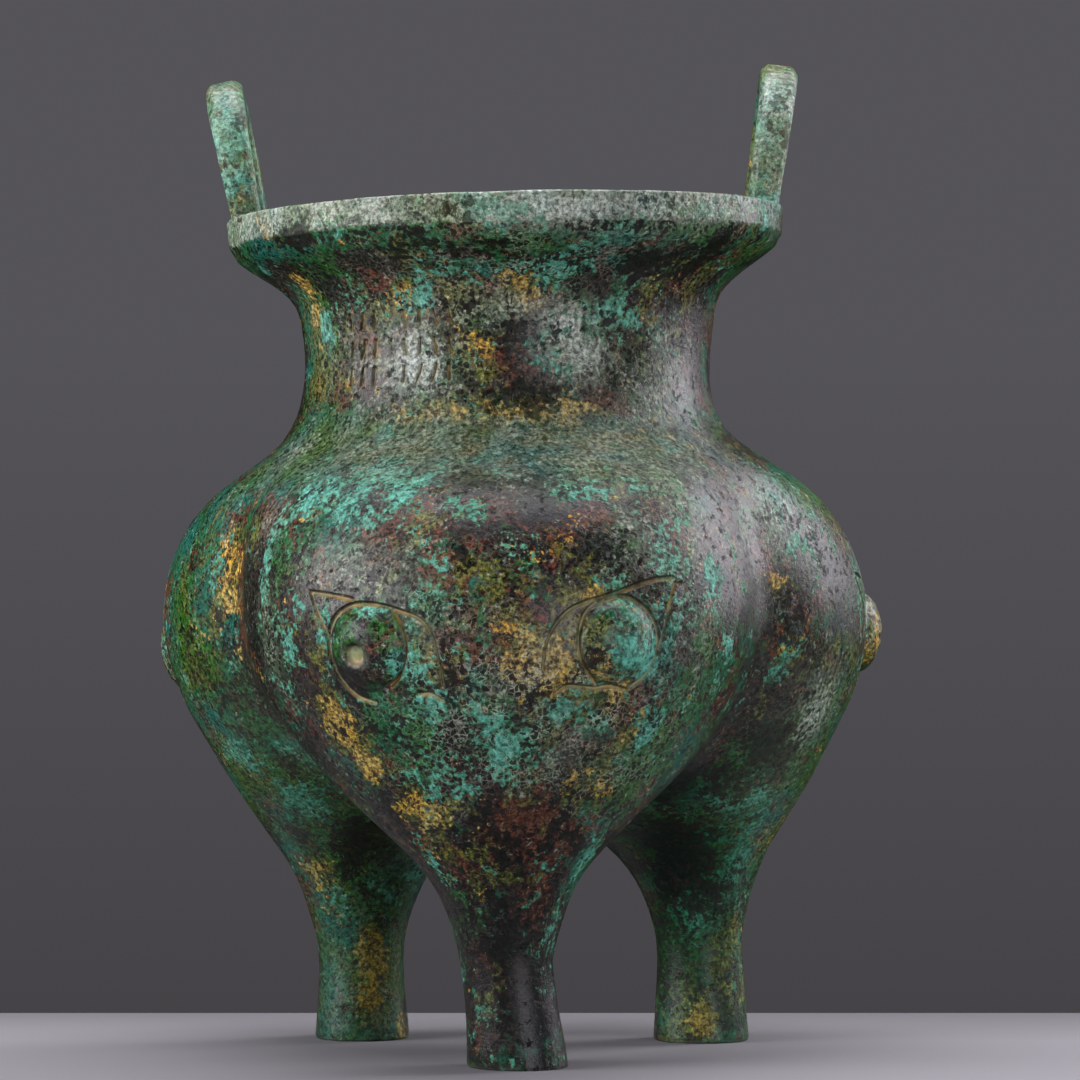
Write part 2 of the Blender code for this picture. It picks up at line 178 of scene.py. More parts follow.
def edit(obj):
    only(obj)
    bpy.ops.object.mode_set(mode="EDIT")


def select_in_edit(obj, what, test):
    """In edit mode, selects the verts, edges or faces that pass the test, and nothing else."""
    bpy.ops.mesh.select_all(action="DESELECT")
    mesh = bmesh.from_edit_mesh(obj.data)
    mode = {"verts": "VERT", "edges": "EDGE", "faces": "FACE"}[what]
    bpy.context.tool_settings.mesh_select_mode = (mode == "VERT", mode == "EDGE", mode == "FACE")
    chosen = [item for item in getattr(mesh, what) if test(item)]
    for item in chosen:
        item.select_set(True)
    mesh.select_flush_mode()
    bmesh.update_edit_mesh(obj.data)
    return len(chosen)


def heights(low, high, step):
    """Even steps from low up to, and without, high, none larger than step."""
    count = math.ceil((high - low) / step)
    return [low + (high - low) * i / count for i in range(count)]


# %% Rings of the outer skin and of the hollow
SIDES = 96
EDGE_ROUND = 0.0006
GROUND_DROP = 0.0030


def rings_of(profile, levels):
    offset, radius = profile(np.array(levels))
    return [tuple(map(float, row)) for row in zip(levels, offset, radius)]


levels = [-GROUND_DROP, 0.0] + heights(0.004, SHAFT_HEIGHT, 0.0042) + heights(SHAFT_HEIGHT, NECK_FOOT, 0.0025)
levels += heights(NECK_FOOT, NECK_TOP, 0.0030) + heights(NECK_TOP, BAND_FOOT - EDGE_ROUND, 0.0017)
outer = rings_of(section, levels)
band = LIP_RADIUS - BAND_BATTER
quarter = [math.radians(angle) for angle in (0, 30, 60, 90)]
outer += [(BAND_FOOT - EDGE_ROUND / 2, 0.0, band - EDGE_ROUND * 0.7), (BAND_FOOT, 0.0, band - EDGE_ROUND * 0.15)]
outer += [(BAND_FOOT + BAND_HEIGHT * share, 0.0, band + BAND_BATTER * share) for share in (0.12, 0.35, 0.65)]
outer += [(RIM - EDGE_ROUND * (1 - math.sin(a)), 0.0, LIP_RADIUS - EDGE_ROUND * (1 - math.cos(a))) for a in quarter]
mouth = LIP_RADIUS - LIP_WIDTH + EDGE_ROUND
outer += [(RIM, 0.0, LIP_RADIUS - EDGE_ROUND - (LIP_RADIUS - EDGE_ROUND - mouth) * share) for share in (0.25, 0.5, 0.75)]

offset, radius = (float(value[0]) for value in cavity_section(SOLID_FOOT))
inner = [(SOLID_FOOT - radius * math.cos(a) * 0.6, offset, radius * max(math.sin(a), 0.12)) for a in quarter[:-1]]
inner += rings_of(cavity_section, heights(SOLID_FOOT, NECK_FOOT, 0.0042) + heights(NECK_FOOT, RIM - EDGE_ROUND, 0.0040))
inner += [(RIM - EDGE_ROUND * (1 - math.sin(a)), 0.0, mouth - EDGE_ROUND * math.cos(a)) for a in quarter[:-1]]
print(len(outer), "outer rings,", len(inner), "rings of the hollow")

# %% Pour one lobe and cut it to its third
def pour_lobe(name, rings, kick):
    """A third of a skin: circles extruded upwards, cut by two upright planes through the axis."""
    bpy.ops.object.select_all(action="DESELECT")
    z, offset, radius = rings[0]
    aside = kick * max(1 - z / SHAFT_HEIGHT, 0)
    place = (aside, -offset, z)
    bpy.ops.mesh.primitive_circle_add(vertices=SIDES, radius=radius, fill_type="NGON", location=place)
    lobe = bpy.context.object
    lobe.name = name
    bpy.ops.object.transform_apply(location=True, rotation=False, scale=False)
    bpy.ops.object.mode_set(mode="EDIT")
    bpy.ops.mesh.select_all(action="SELECT")
    for (z0, offset0, radius0), (z1, offset1, radius1) in zip(rings, rings[1:]):
        before, aside = aside, kick * max(1 - z1 / SHAFT_HEIGHT, 0)
        move = (aside - before, offset0 - offset1, z1 - z0)
        bpy.ops.mesh.extrude_region_move(TRANSFORM_OT_translate={"value": move})
        share = radius1 / radius0
        bpy.ops.transform.resize(value=(share, share, 1), center_override=(aside, -offset1, z1))
    half = math.pi / LOBES
    for side in (-1, 1):
        bpy.ops.mesh.select_all(action="SELECT")
        away = (side * math.cos(half), math.sin(half), 0)
        bpy.ops.mesh.bisect(plane_co=(0, 0, 0), plane_no=away, clear_outer=True, threshold=1e-6)
    bpy.ops.object.mode_set(mode="OBJECT")
    return lobe


def three_lobes(name, rings, kick):
    """The whole skin: the lobe copied and turned, joined, and welded along its planes."""
    lobes = []
    for number in range(LOBES):
        lobe = pour_lobe(f"{name}_{number}", rings, kick if number == 0 else 0.0)
        lobe.rotation_euler.z = LOBE_TURN + 2 * math.pi * number / LOBES
        only(lobe)
        bpy.ops.object.transform_apply(location=False, rotation=True, scale=False)
        lobes.append(lobe)
    only(lobes[0])
    for lobe in lobes[1:]:
        lobe.select_set(True)
    bpy.ops.object.join()
    skin = lobes[0]
    skin.name = name
    edit(skin)
    bpy.ops.mesh.select_all(action="SELECT")
    bpy.ops.mesh.remove_doubles(threshold=4e-6)
    top = max(ring[0] for ring in rings) - 1e-5
    caps = select_in_edit(skin, "faces", lambda face: face.normal.z > 0.9 and face.calc_center_median().z > top
                          and len(face.verts) > 8)
    bpy.ops.mesh.delete(type="FACE")
    bpy.ops.object.mode_set(mode="OBJECT")
    print(name, len(skin.data.vertices), "vertices,", caps, "caps opened")
    return skin


vessel = three_lobes("tripod", outer, FRONT_FOOT_KICK)
hollow = three_lobes("hollow", inner, 0.0)

# %% [markdown]
# ## Close the lip between the two skins
# The outer skin ends on the lip's inner corner and the hollow ends just below it. Both have the
# same number of points, so a bridge joins them with one ring of faces, and the whole casting is
# one closed surface. A Boolean would do it too, but it leaves ragged faces on the lip.

# %% Join and bridge
only(vessel)
hollow.select_set(True)
bpy.ops.object.join()
edit(vessel)
select_in_edit(vessel, "edges", lambda edge: edge.is_boundary)
bpy.ops.mesh.bridge_edge_loops()
bpy.ops.mesh.select_all(action="SELECT")
bpy.ops.mesh.normals_make_consistent(inside=False)
bpy.ops.object.mode_set(mode="OBJECT")


def open_edges(obj):
    """How many edges don't have exactly two faces."""
    mesh = bmesh.new()
    mesh.from_mesh(obj.data)
    count = sum(len(edge.link_faces) != 2 for edge in mesh.edges)
    volume = mesh.calc_volume(signed=True)
    mesh.free()
    return count, round(volume * 1e9)


print("closed casting, open edges and volume in mm3:", open_edges(vessel))

# %% [markdown]
# ## Soften the valleys
# Where two pouches meet, the real casting has a soft valley, not a knife-sharp one, because the
# founder's model was wax or clay. Smoothing the points near the three planes rounds it.

# %% Soften the valleys between the pouches
def coordinates(obj):
    values = np.empty(3 * len(obj.data.vertices))
    obj.data.vertices.foreach_get("co", values)
    return values.reshape(-1, 3)


def set_coordinates(obj, values):
    obj.data.vertices.foreach_set("co", values.ravel())
    obj.data.update()


def lobe_frame(points):
    """For each point its lobe, its angle round that lobe, and its level distance from the lobe's middle."""
    turn = np.arctan2(points[:, 0], -points[:, 1]) - LOBE_TURN
    lobe = np.round(turn / (2 * math.pi / LOBES)).astype(int)
    back = -(LOBE_TURN + 2 * math.pi / LOBES * lobe)
    x = points[:, 0] * np.cos(back) - points[:, 1] * np.sin(back)
    y = points[:, 0] * np.sin(back) + points[:, 1] * np.cos(back)
    out = -y - section(points[:, 2])[0]
    return lobe % LOBES, np.arctan2(x, out), np.hypot(x, out)


def valley_distance(point):
    """How far a point stands from the nearest of the upright planes between lobes."""
    turn = (math.atan2(point.x, -point.y) - LOBE_TURN) % (2 * math.pi / LOBES) - math.pi / LOBES
    return abs(math.hypot(point.x, point.y) * math.sin(turn))


edit(vessel)
VALLEY_WIDTHS = (0.0080, 0.0080, 0.0080, 0.0055, 0.0055, 0.0040)
for width in VALLEY_WIDTHS:
    softened = select_in_edit(vessel, "verts", lambda vertex: SHAFT_HEIGHT < vertex.co.z < NECK_FOOT
                              and valley_distance(vertex.co) < width)
    bpy.ops.mesh.vertices_smooth(factor=0.5, repeat=2)
bpy.ops.object.mode_set(mode="OBJECT")
print(softened, "points smoothed along the valleys")

# %% [markdown]
# ## The loop handles
# Each handle is an upside-down U of one bar, deeper at its top, with its corners taken off and
# the edges rubbed round by hands. It leans outwards and its ends sink into the lip. One section
# is extruded up, spun over and extruded down again; two bevels make the flat and its soft edges.

# %% Model the two handles
HANDLE_HEIGHT, HANDLE_SPAN, HANDLE_BAR, HANDLE_SEAT = 0.0294, 0.0340, 0.0060, 0.0030
HANDLE_DEPTH, HANDLE_TOP_DEPTH, HANDLE_CHAMFER = 0.0061, 0.0076, 0.0013
HANDLE_SETBACKS, HANDLE_TILT = {-1: 0.0018, 1: 0.0015}, math.radians(9.5)


def apply_all(obj):
    only(obj)
    for modifier in list(obj.modifiers):
        bpy.ops.object.modifier_apply(modifier=modifier.name)


def add_modifier(obj, kind, **settings):
    modifier = obj.modifiers.new(kind.lower(), kind)
    for name, value in settings.items():
        setattr(modifier, name, value)
    return modifier


def make_handle(side):
    """A loop handle, standing on the lip. side is -1 at -X and 1 at +X."""
    half, height = HANDLE_SPAN / 2, HANDLE_HEIGHT + HANDLE_SEAT
    bpy.ops.object.select_all(action="DESELECT")
    bpy.ops.mesh.primitive_plane_add(size=1, location=(0, HANDLE_BAR / 2 - half, -HANDLE_SEAT))
    handle = bpy.context.object
    handle.scale = (HANDLE_DEPTH, HANDLE_BAR, 1)
    bpy.ops.object.transform_apply(location=True, rotation=False, scale=True)
    bpy.ops.object.mode_set(mode="EDIT")
    bpy.ops.mesh.select_all(action="SELECT")
    lift = (height - half) / 6
    for _ in range(6):
        bpy.ops.mesh.extrude_region_move(TRANSFORM_OT_translate={"value": (0, 0, lift)})
    bpy.ops.mesh.spin(steps=24, angle=math.pi, center=(0, 0, HANDLE_HEIGHT - half), axis=(1, 0, 0))
    for _ in range(6):
        bpy.ops.mesh.extrude_region_move(TRANSFORM_OT_translate={"value": (0, 0, -lift)})
    bpy.ops.mesh.select_all(action="SELECT")
    bpy.ops.mesh.normals_make_consistent(inside=False)
    bpy.ops.object.mode_set(mode="OBJECT")
    points = coordinates(handle)
    climb = np.clip(points[:, 2] / HANDLE_HEIGHT, 0, 1)
    points[:, 0] *= 1 + (HANDLE_TOP_DEPTH / HANDLE_DEPTH - 1) * climb
    set_coordinates(handle, points)
    add_modifier(handle, "BEVEL", width=HANDLE_CHAMFER, segments=1, limit_method="ANGLE", angle_limit=0.7)
    add_modifier(handle, "BEVEL", width=0.0004, segments=2, limit_method="ANGLE", angle_limit=0.5)
    apply_all(handle)
    handle.rotation_euler = (0, HANDLE_TILT, 0)
    handle.location = (LIP_RADIUS - HANDLE_SETBACKS[side] - HANDLE_DEPTH / 2, 0, RIM)
    bpy.ops.object.transform_apply(location=True, rotation=True, scale=False)
    if side < 0:
        handle.rotation_euler = (0, 0, math.pi)
        bpy.ops.object.transform_apply(location=False, rotation=True, scale=False)
    return handle


for side in (-1, 1):
    handle = make_handle(side)
    print("handle, open edges and volume:", open_edges(handle))
    add_modifier(vessel, "BOOLEAN", operation="UNION", solver="EXACT", object=handle)
    apply_all(vessel)
    bpy.data.objects.remove(handle)
print("with handles, open edges and volume:", open_edges(vessel))

# %% [markdown]
# ## The mask's eyes and the strokes on the neck
# Each pouch carries the same simple mask: two round bosses, each inside a carved circle with a
# lid, a pointed outer corner and a short lower line. The founder pressed the bosses into the
# mould and cut the lines, so every line wanders a little. The lines are lists of places in
# millimetres from an eye's middle, outwards and up. Short strokes stand in rows on the neck.

# %% Where the lines run
EYE_HEIGHT, EYE_ANGLE = WIDEST - 0.0074, math.radians(28.1)
MASK_TURNS = np.radians((1.5, 1.5, -6.0))
LEFT_EYE = (
    ((12.0, 11.5), (7.3, 10.9), (1.7, 9.8)),
    ((12.0, 11.5), (10.2, 6.5), (8.7, 2.3), (8.9, -1.2), (8.4, -4.4), (6.8, -7.2), (4.6, -9.1), (1.1, -10.2)),
    ((8.7, 1.6), (7.5, 4.7), (5.2, 7.2), (1.8, 8.7), (-1.7, 8.9), (-5.4, 8.3), (-9.0, 7.2), (-11.7, 6.2),
     (-13.5, 4.7), (-14.7, 2.4), (-15.3, -0.4), (-15.6, -3.6), (-15.3, -7.3)),
    ((-6.8, 7.9), (-8.4, 5.3), (-9.2, 2.2), (-9.1, -0.4), (-8.2, -2.9), (-6.4, -5.4), (-4.3, -6.9)),
    ((-9.9, -8.7), (-12.5, -8.7), (-14.8, -10.0)),
)
RIGHT_EYE = (
    ((13.2, 12.2), (9.4, 12.0), (5.7, 11.2), (0.5, 9.7), (-4.5, 8.4), (-8.9, 7.0), (-11.6, 5.0), (-13.6, 2.3),
     (-14.7, -0.6), (-15.2, -4.6)),
    ((13.8, 11.2), (12.0, 6.5), (10.8, 1.7), (9.8, -1.3)),
    ((-4.3, 8.1), (-6.6, 5.8), (-7.9, 2.3), (-8.0, -1.2), (-6.6, -4.6), (-3.7, -7.9)),
    ((-5.0, 7.2), (-1.6, 8.7), (1.2, 8.9), (4.5, 7.8), (7.7, 5.0), (9.4, 1.1), (9.2, -3.0), (7.6, -6.4),
     (4.4, -8.7)),
    ((-12.4, -9.4), (-10.1, -8.1), (-7.0, -8.2), (-3.8, -8.6), (-0.5, -8.3), (3.8, -9.2)),
)
BOSS_RADIUS, BOSS_RISE, BOSS_SINK = 0.0084, 0.0030, 0.0012
PUPIL_RADIUS, PUPIL_DEPTH, BLIND_EYE = 0.0024, 0.0012, 1
STROKE_ROWS, STROKE_TALL = (148.2, 142.7, 137.3), 3.3
STROKE_COLUMNS = (-43.6, -39.2, -34.8, -24.8, -20.2, -15.6, -11.4)


def smooth_line(corners, steps=5):
    """The corners joined by a curve instead of by straight lines."""
    corners = np.array(corners)
    parts = np.arange(len(corners))
    rows = np.column_stack([parts, corners])
    return smooth_through(rows, np.linspace(0, len(corners) - 1, steps * (len(corners) - 1) + 1))


def line_distance(places, line):
    """How far each place lies from a line."""
    best = np.full(len(places), 99.0)
    for start, end in zip(line, line[1:]):
        way = end - start
        share = np.clip((places - start) @ way / (way @ way), 0, 1)
        best = np.minimum(best, np.linalg.norm(places - start - share[:, None] * way, axis=1))
    return best


random.seed(11)
strokes = []
for row in STROKE_ROWS:
    for column in STROKE_COLUMNS:
        lean, tall = random.uniform(-0.5, 0.5), STROKE_TALL * random.uniform(0.8, 1.05)
        arc = math.radians(column) * NECK_RADIUS * 1000
        strokes.append(np.array([(arc - lean, row - tall / 2), (arc + lean * 0.4, row), (arc + lean, row + tall / 2)]))
print(len(strokes), "strokes on the neck")

# %% [markdown]
# ## How deep the surface is cut, anywhere
# One function reads the points of the mesh and says how far each lies from the nearest line, how
# high it stands on a boss and how deep in a pupil. The same answers choose which faces are made
# finer, and then become vertex groups that two Displace modifiers read.

# %% Read the carving at points
FAR = 99.0


def read_carving(points, lift=0.0):
    """Distances to the nearest line and boss edge in mm, rise on a boss and depth in a pupil in metres. The lift in
    millimetres reads the carving as if all of it stood that much lower."""
    lobe, angle, level = lobe_frame(points)
    skin = level > section(points[:, 2])[1] - WALL / 3
    turned = angle - MASK_TURNS[lobe]
    eye = 2 * lobe + (turned > 0)
    places = np.column_stack([(np.abs(turned) - EYE_ANGLE) * LOBE_RADIUS, points[:, 2] - EYE_HEIGHT]) * 1000 + (0, lift)
    near = skin & (np.abs(places[:, 0]) < 19) & (np.abs(places[:, 1] - 1) < 15)
    cut = np.full(len(points), FAR)
    for number in range(2 * LOBES):
        here = near & (eye == number)
        for line in LEFT_EYE if number == 0 else RIGHT_EYE:
            cut[here] = np.minimum(cut[here], line_distance(places[here], smooth_line(line)))
    out = np.where(near, np.linalg.norm(places, axis=1) / 1000, FAR)
    rise = np.sqrt(np.clip(1 - (out / BOSS_RADIUS) ** 2, 0, 1)) * (BOSS_RISE + BOSS_SINK) - BOSS_SINK
    pupil = np.where(eye == 0, 0.9, 0.0)
    pit = np.where(near & (eye != BLIND_EYE), np.hypot(places[:, 0] - pupil, places[:, 1] + 0.4) / 1000, FAR)
    depth = PUPIL_DEPTH * np.clip(1.7 * (1 - (pit / PUPIL_RADIUS) ** 2), 0, 1)
    around = np.arctan2(points[:, 0], -points[:, 1]) - LOBE_TURN
    neck = np.column_stack([around * NECK_RADIUS, points[:, 2]]) * 1000 + (0, lift)
    band = (np.abs(neck[:, 1] - 142.7) < 10) & (neck[:, 0] > -37) & (neck[:, 0] < -5)
    band &= np.hypot(points[:, 0], points[:, 1]) > NECK_RADIUS - WALL / 3
    for stroke in strokes:
        cut[band] = np.minimum(cut[band], line_distance(neck[band], stroke))
    eye_zone = near & (np.abs(places[:, 0]) < 17.5) & (places[:, 1] < 14.5) & (places[:, 1] > -12.5)
    return cut, np.clip(rise, 0, None), depth, np.minimum(out, pit), eye_zone | band, eye, places[:, 1] + 0.4


def select_points(obj, chosen):
    """Selects these points of the mesh and goes into edit mode."""
    only(obj)
    nothing = np.zeros(len(obj.data.polygons), bool)
    obj.data.polygons.foreach_set("select", nothing)
    obj.data.edges.foreach_set("select", np.zeros(len(obj.data.edges), bool))
    obj.data.vertices.foreach_set("select", chosen)
    bpy.context.tool_settings.mesh_select_mode = (True, False, False)
    bpy.ops.object.mode_set(mode="EDIT")


def onto_profile(obj, chosen):
    """Moves points level until they lie on the true profile."""
    points = coordinates(obj)
    lobe, angle, level = lobe_frame(points)
    offset, radius = section(points[:, 2])
    turn = LOBE_TURN + 2 * math.pi / LOBES * lobe
    x, y = radius * np.sin(angle), -offset - radius * np.cos(angle)
    chosen = chosen & (np.abs(radius - level) < WALL / 5)
    points[chosen, 0] = (x * np.cos(turn) - y * np.sin(turn))[chosen]
    points[chosen, 1] = (x * np.sin(turn) + y * np.cos(turn))[chosen]
    set_coordinates(obj, points)


# %% Make the faces finer near the carving
FINE_STEPS = ((FAR, FAR), (FAR, FAR), (2.0, 2.4), (1.0, 0.75))
for front_reach, back_reach in FINE_STEPS:
    cut, rise, depth, boss, zone, eye, above_pupil = read_carving(coordinates(vessel))
    reach = np.where((eye < 2) | (coordinates(vessel)[:, 2] > NECK_FOOT), front_reach, back_reach)
    steep = np.abs(boss * 1000 - 7.6) < 0.8 if front_reach < 1.5 else np.abs(boss * 1000 - 7.4) < 1.3
    pit_wall = (depth > 0) & (boss < PUPIL_RADIUS * 1.2)
    chosen = zone & ((cut <= reach) | (steep & (front_reach > 1.5)) | pit_wall)
    select_points(vessel, chosen)
    bpy.ops.mesh.subdivide(number_cuts=1)
    bpy.ops.object.mode_set(mode="OBJECT")
    onto_profile(vessel, read_carving(coordinates(vessel))[4])
    print(len(vessel.data.vertices), "points after making", int(chosen.sum()), "finer")

# %% [markdown]
# ## Press the bosses out and cut the lines
# The bosses rise first, and the lines and pupils are cut after, so a line that touches a boss
# stays a line. A last slow noise makes the skin as uneven as a clay-cast surface is.

# %% Displace the bosses, the lines and the whole skin
GROOVE_HALF, GROOVE_DEPTH = 0.50, 0.00060


def weigh(obj, name, weights):
    """A vertex group of these weights, for the points where they are above zero."""
    group = obj.vertex_groups.new(name=name)
    for index in np.flatnonzero(weights > 0):
        group.add([int(index)], float(weights[index]), "REPLACE")


def keep_attribute(obj, name, values):
    """Keeps one number for each point, for the material to read."""
    attribute = obj.data.attributes.new(name, "FLOAT", "POINT")
    attribute.data.foreach_set("value", values.astype(np.float32))


cut, rise, depth, boss, zone, eye, above_pupil = read_carving(coordinates(vessel))
groove = GROOVE_DEPTH * np.clip(1 - (cut / GROOVE_HALF) ** 2, 0, 1)
# The carving read a little lower and higher: a line's lower wall gets pale earth and painted light, its upper wall
# painted shadow.
for name, lift in {"groove foot": 0.22, "groove brow": -0.30}.items():
    keep_attribute(vessel, name, np.exp(-((read_carving(coordinates(vessel), lift)[0] / 0.28) ** 2)))
keep_attribute(vessel, "pupil", depth / PUPIL_DEPTH)
# The height within the pupil, so that the material paints the pit's upper wall in shadow and its lower wall pale.
keep_attribute(vessel, "pupil height", np.clip(above_pupil / (PUPIL_RADIUS * 1000), -1, 1))
weigh(vessel, "rise", rise / BOSS_RISE)
weigh(vessel, "cut", np.maximum(groove, depth) / PUPIL_DEPTH)
uneven = bpy.data.textures.new("uneven skin", "CLOUDS")
uneven.noise_scale, uneven.noise_depth = 0.016, 2
add_modifier(vessel, "DISPLACE", vertex_group="rise", strength=BOSS_RISE, mid_level=0.0)
apply_all(vessel)
add_modifier(vessel, "DISPLACE", vertex_group="cut", strength=-PUPIL_DEPTH, mid_level=0.0)
add_modifier(vessel, "DISPLACE", texture=uneven, strength=0.0007, mid_level=0.5)
apply_all(vessel)
print("relief: highest", round(rise.max(), 4), "deepest", round(max(groove.max(), depth.max()), 5),
      "triangles", sum(len(face.vertices) - 2 for face in vessel.data.polygons))

# %% [markdown]
# ## The stance
# The casting isn't quite straight: its middle strays sideways with height and it leans a little
# to one side, and the soles are worn level. All of that is the part's own.

# %% Give the casting its stray, its lean and its level soles
STANCE = (0.0016718, 0.0052824, 0)
points = coordinates(vessel)
points[:, 0] += smooth_through(STRAY, np.clip(points[:, 2], 0, RIM))[:, 0]
set_coordinates(vessel, points)
only(vessel)
vessel.rotation_euler = (0, LEAN, 0)
vessel.location = STANCE
bpy.ops.object.transform_apply(location=True, rotation=True, scale=True)
edit(vessel)
bpy.ops.mesh.select_all(action="SELECT")
bpy.ops.mesh.bisect(plane_co=(0, 0, 0), plane_no=(0, 0, 1), use_fill=True, clear_inner=True, threshold=1e-6)
sole_edges = select_in_edit(vessel, "edges", lambda edge: max(end.co.z for end in edge.verts) < 1e-6)
bpy.ops.mesh.bevel(offset=0.0007, segments=3, affect="EDGES")
bpy.ops.object.mode_set(mode="OBJECT")
only(vessel)
bpy.ops.object.shade_smooth_by_angle(angle=math.radians(50))
print("standing, open edges and volume:", open_edges(vessel), sole_edges, "edges of the soles")
